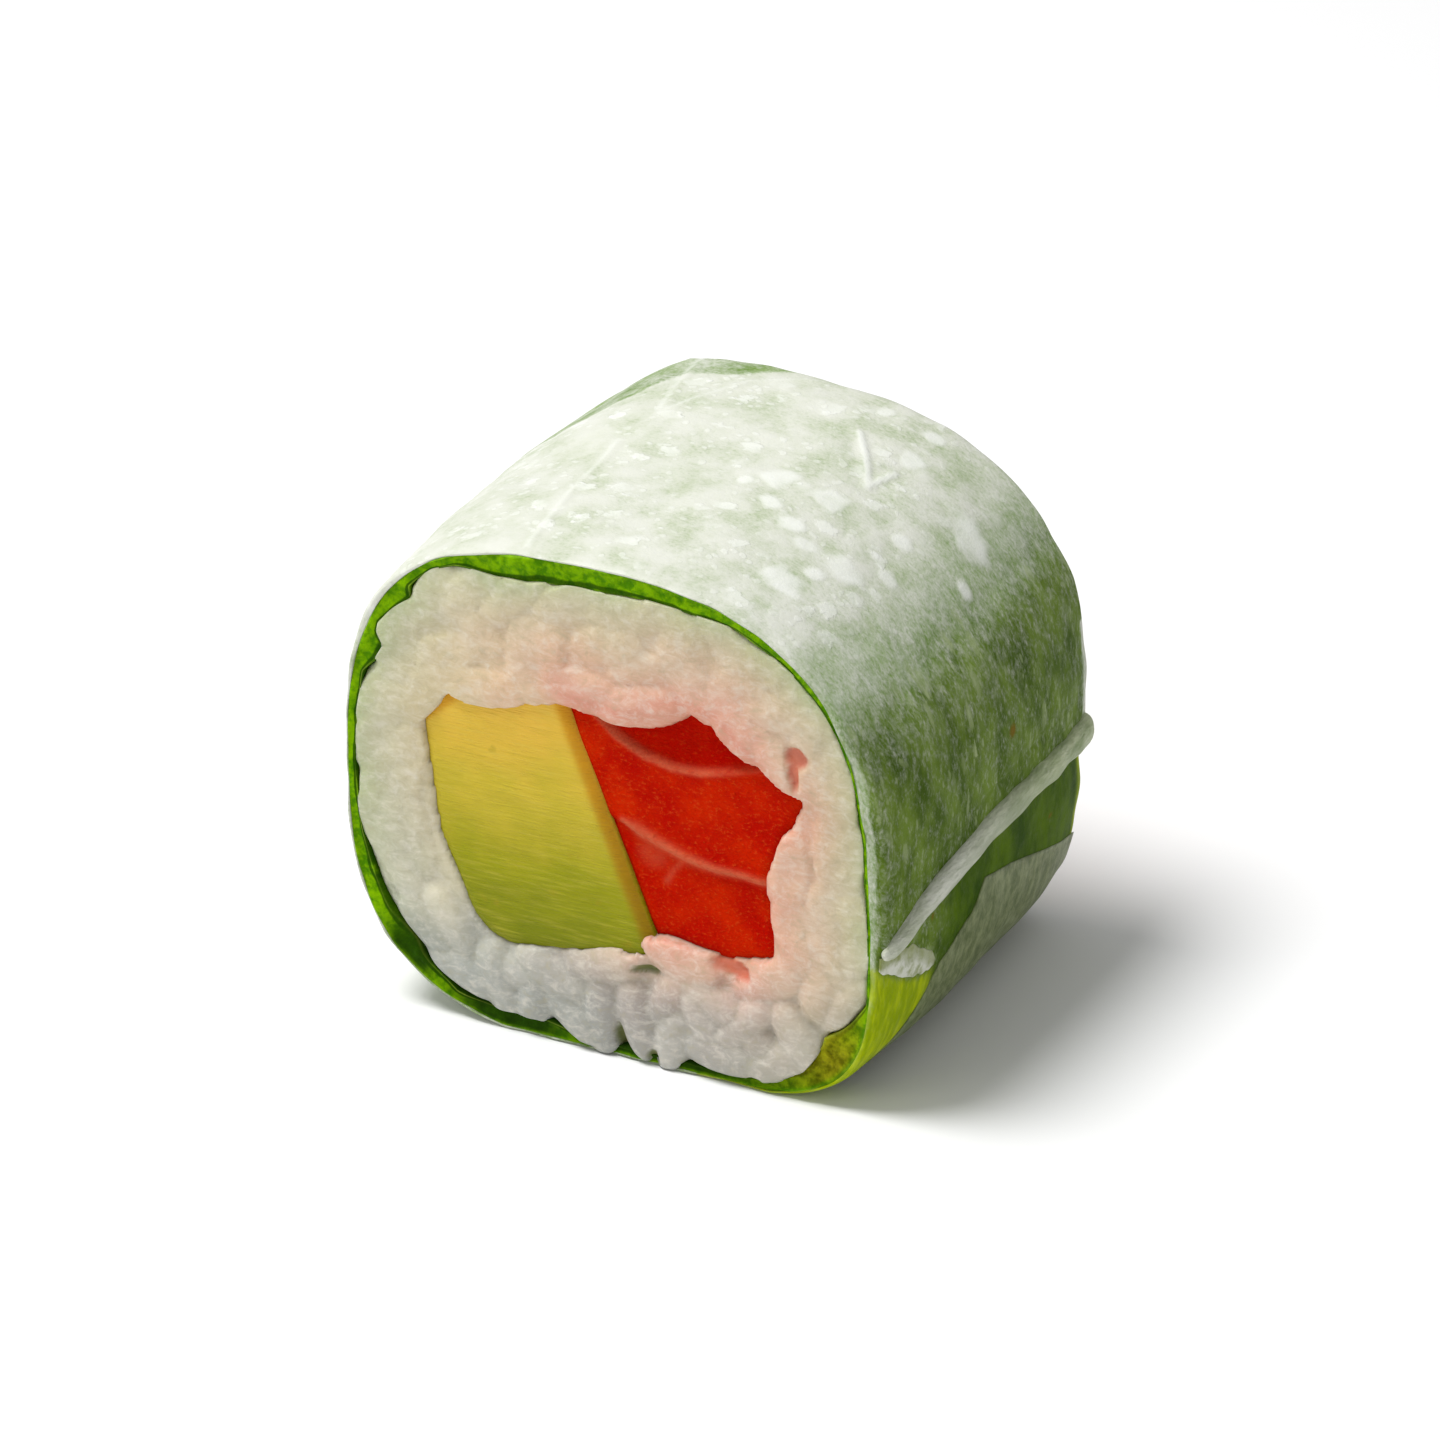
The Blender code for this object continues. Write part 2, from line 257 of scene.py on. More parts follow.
def soften(piece, times, factor=0.5):
    bm = bmesh.new()
    bm.from_mesh(piece.data)
    for _ in range(times):
        bmesh.ops.smooth_vert(bm, verts=bm.verts, factor=factor, use_axis_x=True, use_axis_y=True, use_axis_z=True)
    bm.to_mesh(piece.data)
    bm.free()


def crease_depth(piece, times):
    """How deep each point lies in a crease, in millimetres: how far smoothing would lift it."""
    before = points_of(piece)
    normals = numpy.empty(before.size)
    piece.data.vertices.foreach_get("normal", normals)
    soften(piece, times)
    lifted = points_of(piece) - before
    set_points(piece, before)
    return (lifted * normals.reshape(-1, 3)).sum(axis=1) / MM


def stick(name, outline, half_length, material, node):
    """A straight stick of filling along the roll, with its cross-section given in millimetres."""
    bm = bmesh.new()
    ring = [bm.verts.new((x * MM, -half_length, z * MM)) for x, z in outline]
    face = bm.faces.new(ring)
    pulled = bmesh.ops.extrude_face_region(bm, geom=[face])["geom"]
    far = [e for e in pulled if isinstance(e, bmesh.types.BMVert)]
    bmesh.ops.translate(bm, verts=far, vec=(0, 2 * half_length, 0))
    bmesh.ops.recalc_face_normals(bm, faces=bm.faces)
    return mesh_piece(name, bm, material, node)


def avocado_finish():
    finish = Finish("avocado", Roughness=0.45, Subsurface_Weight=0.1, Subsurface_Scale=1.2 * MM)
    finish.shader.inputs["Subsurface Radius"].default_value = (1, 0.8, 0.25)
    finish.shader.inputs["Specular IOR Level"].default_value = 0.12
    streaks = finish.mottle(finish.place((0.25, 1, 3.2)), 1.2, 4, 0.6)
    clouds = finish.mottle(finish.place(), 0.35, 3)
    height = finish.node("ShaderNodeSeparateXYZ", {}, (finish.place(),), 2)
    ripeness = height * 0.055 - 0.42 + (clouds - 0.5) * 0.3
    base = finish.ramp(
        ripeness.fit(),
        (0.0, srgb(122, 130, 6)),
        (0.25, srgb(152, 152, 14)),
        (0.55, srgb(198, 177, 50)),
        (0.95, srgb(232, 186, 70)),
    )
    base = finish.mix(streaks.rise(0.45, 0.75) * 0.25, base, srgb(216, 198, 84))
    base = finish.mix((1 - streaks.rise(0.25, 0.5)) * 0.2, base, srgb(140, 136, 12))
    bruises = finish.spots(finish.place((0.8, 1, 1.4)), 0.42)
    patch = (1 - bruises.rise(0.1, 0.28)) * finish.mottle(finish.place(), 1.4).rise(0.45, 0.6)
    base = finish.mix(patch * 0.4, base, srgb(160, 142, 32))
    # The rim mask: painted shade, tinted orange, along the edge that meets the salmon and in the gap at the top left
    # corner
    base = finish.mix(finish.attribute("rim") * 0.85, base, finish.mix(ripeness.fit(), srgb(132, 104, 0), srgb(214, 148, 20)))
    finish.wire("Base Color", base)
    fibres = finish.mottle(finish.place((0.3, 1, 4)), 2.2, 3)
    finish.wire("Normal", finish.bumps(fibres + clouds, 0.12 * MM))
    return finish.material


avocado_outline = rounded(AVOCADO_CORNERS)
avocado = stick("avocado_wedge", avocado_outline, AVOCADO_END, avocado_finish(), "avocado")
remesh(avocado, AVOCADO_VOXEL)
soften(avocado, 3)
at = points_of(avocado)
side = numpy.sign(at[:, 1])
inset = distance_to(at[:, [0, 2]] / MM, avocado_outline)
on_end = ramp_up(numpy.abs(at[:, 1]) / MM, 14.6, 14.95)
at[:, 1] += side * on_end * wrinkle(at * (0.35, 0.2, 1.6), 2.2 * MM, 1) * 0.1 * MM
at[:, 1] -= side * on_end * 0.2 * MM * (1 - ramp_up(inset, 0.0, 0.9))
set_points(avocado, at)
# Painted shade, tinted orange: a band along the right edge under the salmon and one in the top left corner's gap
right_edge = distance_to(at[:, [0, 2]] / MM, [(-3.85, 26.1), (3.5, 7.8)], False)
left_corner = distance_to(at[:, [0, 2]] / MM, [(-14.3, 22.6), (-12.0, 24.6)], False)
rim = numpy.maximum(1 - ramp_up(right_edge, 0.5, 1.15), 1 - ramp_up(left_corner, 0.5, 1.2))
paint(avocado, "rim", on_end * rim)

# Salmon. A raw stick cut across the fillet: three flakes parted by pale lines of fat, which stick at
# different depths because the knife drags them. The flesh is wet, deep red-orange and faintly speckled.
SALMON_CORNERS = (
    (-4.5, 26.9, 0.3),
    (0.8, 26.4, 2.0),
    (4.6, 28.4, 0.6),
    (7.9, 27.9, 0.6),
    (14.3, 22.0, 0.35),
    (11.5, 16.0, 3.0),
    (12.3, 9.6, 1.0),
    (8.4, 8.7, 1.5),
    (2.8, 9.3, 0.4),
)
SALMON_END = 14.85 * MM
SALMON_VOXEL = 0.2 * MM
UPPER_FAT = [(-2.6, 26.9), (-1.3, 25.1), (0.1, 23.7), (2.2, 22.7), (4.3, 22.3), (6.4, 22.4), (9.4, 23.2), (13, 24.6)]
LOWER_FAT = [(0.6, 17.6), (1.6, 17.1), (3.2, 16.4), (5.4, 15.8), (7.5, 15.5), (9.7, 15.5), (12.6, 15.1)]
FAT_BRANCH = [(5.1, 15.6), (4.4, 14.8), (3.8, 13.7)]


def height_of(line, x):
    return numpy.interp(x, *numpy.array(line).T)


def salmon_finish():
    finish = Finish("salmon", Subsurface_Weight=0.12, Subsurface_Scale=1.2 * MM)
    finish.shader.inputs["Subsurface Radius"].default_value = (1, 0.25, 0.1)
    finish.shader.inputs["Specular IOR Level"].default_value = 0.01
    place = finish.place((1, 1, 1))
    clouds = finish.mottle(place, 0.28, 4, 0.55)
    base = finish.mix(clouds.rise(0.35, 0.7), srgb(186, 12, 0), srgb(206, 36, 0))
    upper = finish.attribute("upper_flake")
    base = finish.mix(upper * 0.75, base, srgb(182, 8, 0))
    grain = finish.mottle(finish.place((1, 1, 1.6)), 3.2, 3, 0.7)
    base = finish.mix(grain.rise(0.52, 0.7) * 0.55 * (1 - upper * 0.5), base, srgb(214, 76, 26))
    base = finish.mix((1 - grain.rise(0.3, 0.42)) * 0.4, base, srgb(160, 12, 0))
    fat = finish.attribute("fat") * (finish.mottle(place, 1.6, 3).rise(0.2, 0.55) * 0.5 + 0.5)
    base = finish.mix(fat.fit() * 0.85, base, srgb(214, 112, 78))
    finish.wire("Base Color", base)
    finish.wire("Roughness", 0.3 + clouds * 0.15)
    finish.wire("Normal", finish.bumps(grain + finish.mottle(place, 1.1, 2), 0.22 * MM))
    return finish.material


salmon_outline = rounded(SALMON_CORNERS)
salmon = stick("salmon_stick", salmon_outline, SALMON_END, salmon_finish(), "salmon")
remesh(salmon, SALMON_VOXEL)
soften(salmon, 2)
at = points_of(salmon)
side = numpy.sign(at[:, 1])
across = at[:, [0, 2]] / MM
on_end = ramp_up(numpy.abs(at[:, 1]) / MM, 14.35, 14.7)
inset = distance_to(across, salmon_outline)
above = across[:, 1] - height_of(UPPER_FAT, across[:, 0])
below = height_of(LOWER_FAT, across[:, 0]) - across[:, 1]
upper_flake = ramp_up(above, -0.1, 0.35)
lower_flake = ramp_up(below, 0.0, 0.3)
to_upper = distance_to(across, UPPER_FAT, False)
to_lower = distance_to(across, LOWER_FAT, False)
back = upper_flake * (0.45 + 0.3 * ramp_up(above, 0, 3)) + lower_flake * 0.2
back -= 0.14 * numpy.exp(-((to_lower / 0.35) ** 2)) + 0.1 * numpy.exp(-((to_upper / 0.3) ** 2))
back += 0.3 * (1 - ramp_up(inset, 0, 0.9)) + 0.12 * wrinkle(at, 2.5 * MM, 4)
at[:, 1] -= side * on_end * back * MM
set_points(salmon, at)
thin_right = 1 - 0.75 * ramp_up(across[:, 0], 2, 10)
fat = 0.8 * numpy.exp(-((to_upper / 0.23) ** 2)) * (1 - 0.6 * ramp_up(across[:, 0], 6, 10))
lower_width = 0.22 + 0.28 * thin_right * ramp_up(across[:, 0], 0.6, 2)
fat = numpy.maximum(fat, 0.95 * numpy.exp(-((to_lower / lower_width) ** 2)))
fat = numpy.maximum(fat, 0.35 * numpy.exp(-((distance_to(across, FAT_BRANCH, False) / 0.25) ** 2)))
fat = numpy.maximum(fat, 0.3 * (1 - ramp_up(numpy.hypot(across[:, 0] - 2.8, across[:, 1] - 15.6), 0.3, 1.7)))
paint(salmon, "fat", fat * on_end)
paint(salmon, "upper_flake", upper_flake * on_end)

# Rice. Short grains, cooked and pressed sticky: whole grains show low on the cut, and the knife smeared
# them together higher up. A packed core fills the roll behind the grains of each end.
ROLL_WIDTH, ROLL_HEIGHT, CENTRE_HEIGHT, SAG = 40.0, 36.2, 18.3, 0.45
QUARTERS = {"top right": 2.28, "top left": 2.93, "bottom left": 2.96, "bottom right": 4.45}
BELLY = 0.6
BACK_LIFT = ((-180, 0), (10, 0), (42, 0.75), (85, 0.75), (100, 0.95), (112, 1.1), (119, 1.1), (126, 0.4), (133, -0.2), (150, 0), (180, 0))  # the far cut is taller
RICE_DEPTHS = (
    (-180, 0.7), (-167, 0.9), (-150, 1.3), (-138, 1.8), (-125, 0.8), (-113, 1.5), (-107, 1.6), (-98, 0.9),
    (-88, 0.75), (-64, 0.8), (-50, 1.5), (-43, 2.5), (-39, 2.8), (-27, 0.85), (-14, 1.0), (1, 1.4), (14, 1.5),
    (28, 1.0), (45, 0.85), (61, 0.95), (72, 1.5), (99, 1.9), (110, 2.2), (117, 1.9), (126, 1.0), (131, 0.8),
    (138, 1.2), (140, 1.9), (145, 1.55), (150, 1.2), (152, 1.4), (154, 2.2), (159, 1.8), (162, 1.1), (180, 0.7),
)
GRAIN = Vector((3.3, 1.2, 1.4))
GRAIN_SPACING = 2.7
GRAIN_LAP = 0.8  # how far a grain may lie over the edge of a filling
SEAM = ((-4.0, 25.4), (3.0, 9.8))  # where the fillings meet
# The grains that the photo shows one by one: x and z of the middle, turn in degrees, and how far it stands out
SHOWN_GRAINS = (
    (-9.4, 25.1, -5, 0.25), (-6.3, 28.0, 85, 0.15), (-4.8, 28.3, 100, 0.1), (-2.5, 26.7, 6, 0.2),
    (1.8, 26.4, -14, 0.35), (5.4, 29.8, 59, 0.25), (9.0, 26.7, 56, 0.2), (12.0, 24.8, 40, 0.3),
    (13.2, 16.6, 95, 0.2), (13.7, 11.6, 68, 0.25), (11.4, 8.0, -32, 0.1), (5.0, 7.9, 19, 0.3),
    (-0.7, 6.4, -18, 0.15), (-7.0, 4.4, -6, 0.1), (-12.3, 6.8, 54, 0.15), (-14.9, 12.8, 75, 0.1),
    (-15.5, 18.3, 96, 0.2), (-14.2, 23.7, -54, 0.3), (-11.8, 27.4, -26, 0.0), (-8.5, 3.2, 69, 0.25),
    (-5.9, 3.3, 97, 0.2), (-3.2, 2.4, 38, 0.3), (-0.8, 2.6, 84, 0.3), (1.9, 2.9, 70, 0.35),
    (4.2, 4.9, 117, 0.2), (4.5, 2.6, 100, 0.3), (8.1, 1.9, 6, 0.4), (9.6, 4.4, -48, 0.25),
    (12.4, 2.4, -28, 0.35), (13.7, 4.5, 56, 0.3), (7.0, 6.2, 31, 0.35), (6.7, 4.3, 62, 0.25),
    (15.3, 9.2, 99, 0.1), (15.7, 14.2, 85, 0.0), (15.4, 11.9, 56, 0.2), (16.2, 19.5, 95, 0.0),
    (14.9, 24.6, 74, 0.1), (-16.7, 22.0, 101, 0.1), (-16.4, 13.7, 80, 0.2), (-17.5, 16.9, 101, 0.1),
    (-15.7, 9.8, 57, 0.2), (-13.8, 6.1, 44, 0.25), (-11.2, 3.5, 25, 0.2), (-4.5, 4.6, 25, 0.2),
    (-16.1, 28.2, -54, 0.2),
)
# Gaps between grains: x, z, half width, half height, turn in degrees, and whether they show the salmon
GAPS = (
    (13.6, 25.4, 0.75, 0.7, 0, 1), (13.5, 24.0, 0.4, 1.1, 5, 1), (8.9, 8.5, 1.4, 0.6, -14, 1),
    (2.4, 6.9, 1.0, 0.3, 5, 0), (0.7, 1.4, 0.3, 1.3, 8, 0), (3.3, 0.6, 0.4, 0.6, 0, 0), (10.7, 0.6, 0.5, 0.4, 0, 0),
)
GRAIN_EDGE = ((1, 0), (-1, 0), (0, 1), (0, -1), (0.75, 0.75), (0.75, -0.75), (-0.75, 0.75), (-0.75, -0.75))
GRAIN_BACK = 13.3 * MM
BEHIND_FILLINGS = 13.6
RICE_VOXEL = 0.256 * MM
RICE_SEED = 11


def wrap_point(angle):
    """The roll's outer edge in that direction from its centre, in millimetres."""
    c = math.cos(angle)
    s = math.sin(angle)
    quarter = ("top" if s >= 0 else "bottom") + (" right" if c >= 0 else " left")
    height = ROLL_HEIGHT - CENTRE_HEIGHT if s >= 0 else CENTRE_HEIGHT + SAG
    power = QUARTERS[quarter]
    radius = (abs(c / (ROLL_WIDTH / 2)) ** power + abs(s / height) ** power) ** (-1 / power)
    return Vector((radius * c, CENTRE_HEIGHT + radius * s))


def wrap_normal(angle):
    along = wrap_point(angle + 0.01) - wrap_point(angle - 0.01)
    return Vector((along.y, -along.x)).normalized()


def by_angle(table, angle):
    """The value at that direction, from a table of degrees and values."""
    degrees = (math.degrees(angle) + 180) % 360 - 180
    return float(numpy.interp(degrees, *numpy.array(table).T))


def layer_point(angle, depth, y):
    """A point that far under the wrap's outer face, in millimetres, with the floor side flattened."""
    bulge = BELLY * (1 - min(abs(y) / 15.5, 1) ** 3)
    bulge += by_angle(BACK_LIFT, angle) * float(ramp_up(y, -6, 15.5))
    p = wrap_point(angle) + wrap_normal(angle) * (bulge - depth)
    return Vector((p.x, y, max(p.y, max(depth, 0) * 0.9)))


def rice_depth(angle):
    ripple = 0.12 * noise.noise(Vector((math.cos(angle) * 8, math.sin(angle) * 8, 0)))
    return by_angle(RICE_DEPTHS, angle) + ripple


def ring_outline(depth_at, y=-15.5):
    ring = []
    for i in range(360):
        angle = math.radians(i)
        point = layer_point(angle, depth_at(angle), y)
        ring.append((point.x, point.z))
    return numpy.array(ring)


def clear_turn(rng, x, z, turn, spread):
    """A turn near the wished one at which a grain keeps off the fillings, or None."""
    for attempt in range(8):
        tried = turn + rng.uniform(-spread, spread) * (attempt > 0)
        c, s = math.cos(tried), -math.sin(tried)
        tips = [(x + c * GRAIN.x * a - s * GRAIN.z * b, z + s * GRAIN.x * a + c * GRAIN.z * b) for a, b in GRAIN_EDGE]
        if filling_distance(numpy.array(tips)).min() > -GRAIN_LAP:
            return tried
    return None


def grain_verts(bm, rng, x, z, turn, tilt, face_y, side, shown=False):
    """One grain, laid with its near side at face_y from the roll's middle."""
    turn = turn if shown else clear_turn(rng, x, z, turn, 0.8)
    if turn is None:
        return
    size = GRAIN * (0.95 if shown else rng.uniform(0.85, 1.05))
    reach = math.hypot(size.x * math.sin(tilt), size.y * math.cos(tilt))
    placed = (
        Matrix.Translation((x * MM, side * (face_y - reach) * MM, z * MM))
        @ Matrix.Rotation(turn, 4, "Y")
        @ Matrix.Rotation(tilt, 4, "Z")
        @ Matrix.Scale(MM, 4)
    )
    laid.append((side, numpy.array(placed.inverted()), numpy.array(size)))
    made = bmesh.ops.create_icosphere(bm, subdivisions=3, radius=1)["verts"]
    for v in made:
        blunt = math.sqrt(1 + 0.8 * v.co.x ** 2)
        bent = 0.12 * v.co.x ** 2
        v.co = Vector((v.co.x * size.x, v.co.y * size.y * blunt, (v.co.z * blunt + bent) * size.z))
    bmesh.ops.transform(bm, matrix=placed, verts=made)
    for v in made:
        v.co.y = side * max(abs(v.co.y), GRAIN_BACK)


def rice_finish():
    finish = Finish("rice", Roughness=0.4, Subsurface_Weight=0.35, Subsurface_Scale=1.2 * MM)
    finish.shader.inputs["Subsurface Radius"].default_value = (1, 0.85, 0.65)
    finish.shader.inputs["Specular IOR Level"].default_value = 0.3
    place = finish.place()
    clouds = finish.mottle(place, 0.3, 4, 0.55)
    fine = finish.mottle(place, 1.6, 4, 0.6)
    base = finish.mix(clouds.rise(0.3, 0.7), srgb(200, 196, 166), srgb(214, 208, 180))
    base = finish.mix(finish.attribute("low"), base, finish.mix(clouds, srgb(126, 135, 130), srgb(158, 164, 161)))
    base = finish.mix(finish.attribute("cream") * 0.6, base, srgb(216, 198, 150))
    base = finish.mix(finish.attribute("pink") * (0.55 + clouds * 0.5), base, srgb(222, 150, 128))
    base = finish.mix(finish.attribute("veil") * 0.6, base, srgb(210, 122, 98))
    base = finish.mix(finish.attribute("green") * (0.55 + clouds * 0.5), base, srgb(172, 184, 136))
    # Painted shade: darker where the surface lies set back from the cut, deep between grains
    base = finish.mix(finish.attribute("deep") * 0.6, base, srgb(150, 142, 104))
    streaks = finish.mottle(finish.place((1, 1, 1.8)), 0.9, 5, 0.7, 0.6)
    base = finish.mix(finish.attribute("tone") * 0.35, base, srgb(218, 214, 202))
    base = finish.mix(streaks.rise(0.45, 0.7) * 0.4, base, srgb(226, 220, 206))
    base = finish.mix((1 - streaks.rise(0.3, 0.5)) * 0.35, base, srgb(172, 164, 132))
    base = finish.mix(fine.rise(0.5, 0.8) * 0.3, base, srgb(230, 226, 214))
    # Painted shade in the creases and along the seams between grains
    base = finish.mix(finish.attribute("crease") * 0.45, base, srgb(134, 134, 112))
    gap = finish.mix(finish.attribute("red_gap"), srgb(104, 112, 40), srgb(206, 104, 74))
    base = finish.mix(finish.attribute("gap") * 0.85, base, gap)
    finish.wire("Base Color", base)
    finish.wire("Normal", finish.bumps(fine, 0.12 * MM))
    return finish.material


rng = random.Random(RICE_SEED)
rice_rims = {-1: ring_outline(rice_depth), 1: ring_outline(rice_depth, 15.5)}
outer_rim = ring_outline(lambda angle: 0.15)
laid = []
fillings = (avocado_outline, salmon_outline)


def filling_distance(points):
    """Distance outside the fillings, in millimetres, and less than 0 inside."""
    least = numpy.full(len(points), 1e9)
    for outline in fillings:
        away = distance_to(points, outline)
        least = numpy.minimum(least, numpy.where(within(points, outline), -away, away))
    return least


def crowded(x, z, side, room):
    """Whether a grain already lies nearer than that to a place on this end."""
    for other_side, placed, size in laid:
        middle = numpy.linalg.inv(placed)[:3, 3] / MM
        if other_side == side and math.hypot(middle[0] - x, middle[2] - z) < room:
            return True
    return False


def border_grains(bm, rng, side):
    """Grains that press on the fillings, mostly end-on to them, so that their ends scallop the edge."""
    step = 2.5
    edge = []
    for outline in fillings:
        loop = numpy.vstack([outline, outline[:1]])
        lengths = numpy.concatenate([[0], numpy.cumsum(numpy.hypot(*numpy.diff(loop, axis=0).T))])
        for s in numpy.arange(0, lengths[-1], step):
            s += rng.uniform(-0.4, 0.4)
            p = numpy.array([numpy.interp(s, lengths, loop[:, 0]), numpy.interp(s, lengths, loop[:, 1])])
            q = numpy.array([numpy.interp(s + 0.3, lengths, loop[:, 0]), numpy.interp(s + 0.3, lengths, loop[:, 1])])
            along = (q - p) / max(numpy.hypot(*(q - p)), 1e-6)
            outward = numpy.array([-along[1], along[0]])
            if filling_distance((p + outward * 1.6)[None])[0] < 1.2 or p[1] > 22 or p[0] < -8:
                continue
            edge.append((p, outward))
    for p, outward in edge:
        swing = rng.uniform(-0.7, 0.7)
        reach = math.hypot(GRAIN.x * math.cos(swing), GRAIN.z * math.sin(swing))
        x, z = p + outward * (reach - rng.uniform(0.1, 0.8))
        if crowded(x, z, side, 2.2):
            continue
        turn = -math.atan2(outward[1], outward[0]) + swing
        low = 1 - float(ramp_up(z, 8, 17))
        grain_verts(bm, rng, x, z, turn, rng.uniform(-0.15, 0.2), 15.55 + rng.uniform(0, 0.3) + 0.25 * low, side)


def rim_grains(bm, rng, side):
    """Grains along the leaf. At the floor they hang over the edge of the wrap."""
    rim = rice_rims[side]
    lengths = numpy.concatenate([[0], numpy.cumsum(numpy.hypot(*numpy.diff(rim, axis=0).T))])
    s = 0
    while s < lengths[-1]:
        p = numpy.array([numpy.interp(s, lengths, rim[:, 0]), numpy.interp(s, lengths, rim[:, 1])])
        at_floor = p[1] < 2.2 and -8 < p[0] < 14
        inward = numpy.array([0, 18.0]) - p
        inward /= numpy.hypot(*inward)
        if at_floor:
            turn = math.pi / 2 + rng.uniform(-1.15, 1.15)
            half_height = math.hypot(GRAIN.x * math.sin(turn), GRAIN.z * math.cos(turn))
            x, z = p + numpy.array([0, half_height - rng.uniform(0.3, 1.0)])
            face_y = 15.7 + rng.uniform(0, 0.4)
            s += rng.uniform(1.9, 3.0)
        else:
            turn = -math.atan2(inward[1], inward[0]) + math.pi / 2 + rng.uniform(-0.5, 0.5)
            x, z = p + inward * rng.uniform(1.0, 1.5)
            face_y = 15.4 + rng.uniform(0, 0.3)
            s += rng.uniform(3.0, 4.6)
        if not crowded(x, z, side, 1.5):
            grain_verts(bm, rng, x, z, turn, rng.uniform(-0.2, 0.2), face_y, side)


def loose_grains(bm, rng, side):
    """Grains between the others, every way round."""
    rim = rice_rims[side]
    spots = numpy.array([(rng.uniform(-20, 20), rng.uniform(0, 37)) for _ in range(5000)])
    keep = within(spots, rim) & (distance_to(spots, rim) > 1.2) & (filling_distance(spots) > 1.5)
    for x, z in spots[keep]:
        if not crowded(x, z, side, GRAIN_SPACING):
            end_on = rng.random() < 0.15
            tilt = rng.uniform(0.9, 1.3) if end_on else rng.uniform(-0.3, 0.3)
            grain_verts(bm, rng, x, z, rng.uniform(0, math.pi), tilt, 15.25 + rng.uniform(0, 0.4), side)


def packed_core(bm, rim, low_y, high_y):
    ring = [bm.verts.new((x * MM, low_y * MM, z * MM)) for x, z in rim]
    face = bm.faces.new(ring)
    pulled = bmesh.ops.extrude_face_region(bm, geom=[face])["geom"]
    far = [e for e in pulled if isinstance(e, bmesh.types.BMVert)]
    bmesh.ops.translate(bm, verts=far, vec=(0, (high_y - low_y) * MM, 0))


rice_material = rice_finish()
bm = bmesh.new()
for side in (-1, 1):
    for x, z, turn, lift in SHOWN_GRAINS:
        x += rng.uniform(-0.3, 0.3) * (side > 0)
        low = 1 - float(ramp_up(z, 6, 14))
        face_y = 15.55 + lift + 0.15 * low
        grain_verts(bm, rng, x, z, math.radians(turn), rng.uniform(-0.15, 0.15), face_y, side, shown=True)
    border_grains(bm, rng, side)
    rim_grains(bm, rng, side)
    loose_grains(bm, rng, side)
    low_y, high_y = sorted((side * 13.2, side * 14.75))
    packed_core(bm, (rice_rims[side] - (0, 18)) * 0.995 + (0, 18), low_y, high_y)
bmesh.ops.recalc_face_normals(bm, faces=bm.faces)
rice = mesh_piece("rice_grains", bm, rice_material, "rice")
remesh(rice, RICE_VOXEL)
at = points_of(rice)
flat = at[:, [0, 2]] / MM
depth_y = numpy.abs(at[:, 1]) / MM
side = numpy.sign(at[:, 1])
# The knife drags the grains of the upper half flat
covered = numpy.full(len(flat), 9.0)
for grain_side, placed, size in laid:
    near = numpy.flatnonzero(side == grain_side)
    local = (at[near] @ placed[:3, :3].T + placed[:3, 3]) / size
    covered[near] = numpy.minimum(covered[near], numpy.sqrt((local ** 2).sum(axis=1)))
hidden = (filling_distance(flat) < -0.3) | (distance_to(flat, SEAM, False) < 0.9)
inside = hidden & (covered > 1.1 + 0.25 * ramp_up(flat[:, 1], 24.5, 25.1))
smear = (0.28 + 0.56 * ramp_up(flat[:, 1], 5, 13)) * ramp_up(depth_y, 14.2, 15.0) * ~inside
calm = 15.45 + 0.22 * wrinkle(at, 2.6 * MM, 8) + 0.07 * wrinkle(at, 0.9 * MM, 2)
calm += 0.3 * (1 - ramp_up(flat[:, 1], 3, 8))
depth_y = depth_y + (calm - depth_y) * smear
gap = numpy.zeros(len(flat))
red_gap = numpy.zeros(len(flat))
ragged = 0.3 * wrinkle(at, 0.8 * MM, 12)
for x, z, half_width, half_height, turn, red in GAPS:
    c, s = math.cos(math.radians(turn)), math.sin(math.radians(turn))
    offset = flat - (x, z)
    away = numpy.hypot((offset @ (c, s)) / half_width, (offset @ (-s, c)) / half_height) + ragged
    gap = numpy.maximum(gap, 1 - ramp_up(away, 0.7, 1.25))
    red_gap = numpy.maximum(red_gap, red * (1 - ramp_up(away, 1.0, 1.6)))
depth_y -= 0.45 * gap * ramp_up(depth_y, 14.2, 15.0)
depth_y = numpy.where(inside, numpy.minimum(depth_y, BEHIND_FILLINGS), depth_y)
at[:, 1] = side * depth_y * MM
# The leaf and the floor hold the grains in
from_centre = flat - (0, CENTRE_HEIGHT)
bearing = numpy.arctan2(from_centre[:, 1], from_centre[:, 0])
reach = numpy.hypot(*from_centre.T)


def reach_of(rim):
    offset = rim - (0, CENTRE_HEIGHT)
    bearings = numpy.arctan2(offset[:, 1], offset[:, 0])
    order = numpy.argsort(bearings)
    return numpy.interp(bearing, bearings[order], numpy.hypot(*offset.T)[order], period=2 * math.pi)


spill = ramp_up(depth_y, 15.4, 15.6) * ramp_up(-flat[:, 1], -5, -2)
spill *= ramp_up(flat[:, 0], -5.5, -3.5) * ramp_up(-flat[:, 0], -14.5, -13)
rim_reach = numpy.where(side < 0, reach_of(rice_rims[-1]), reach_of(rice_rims[1]))
limit = rim_reach * (1 - spill) + reach_of(outer_rim) * spill
held = numpy.minimum(reach, limit) / numpy.maximum(reach, 1e-6)
flat = from_centre * held[:, None] + (0, CENTRE_HEIGHT)
flat[:, 1] = numpy.maximum(flat[:, 1], 0.12)
at[:, [0, 2]] = flat * MM
set_points(rice, at)
soften(rice, 1, 0.4)
at = points_of(rice)
flat = at[:, [0, 2]] / MM
depth_y = numpy.abs(at[:, 1]) / MM
to_salmon = distance_to(flat, salmon_outline)
to_avocado = distance_to(flat, avocado_outline)
to_leaf = distance_to(flat, rice_rims[-1])
cloud = wrinkle(at, 3 * MM, 5)
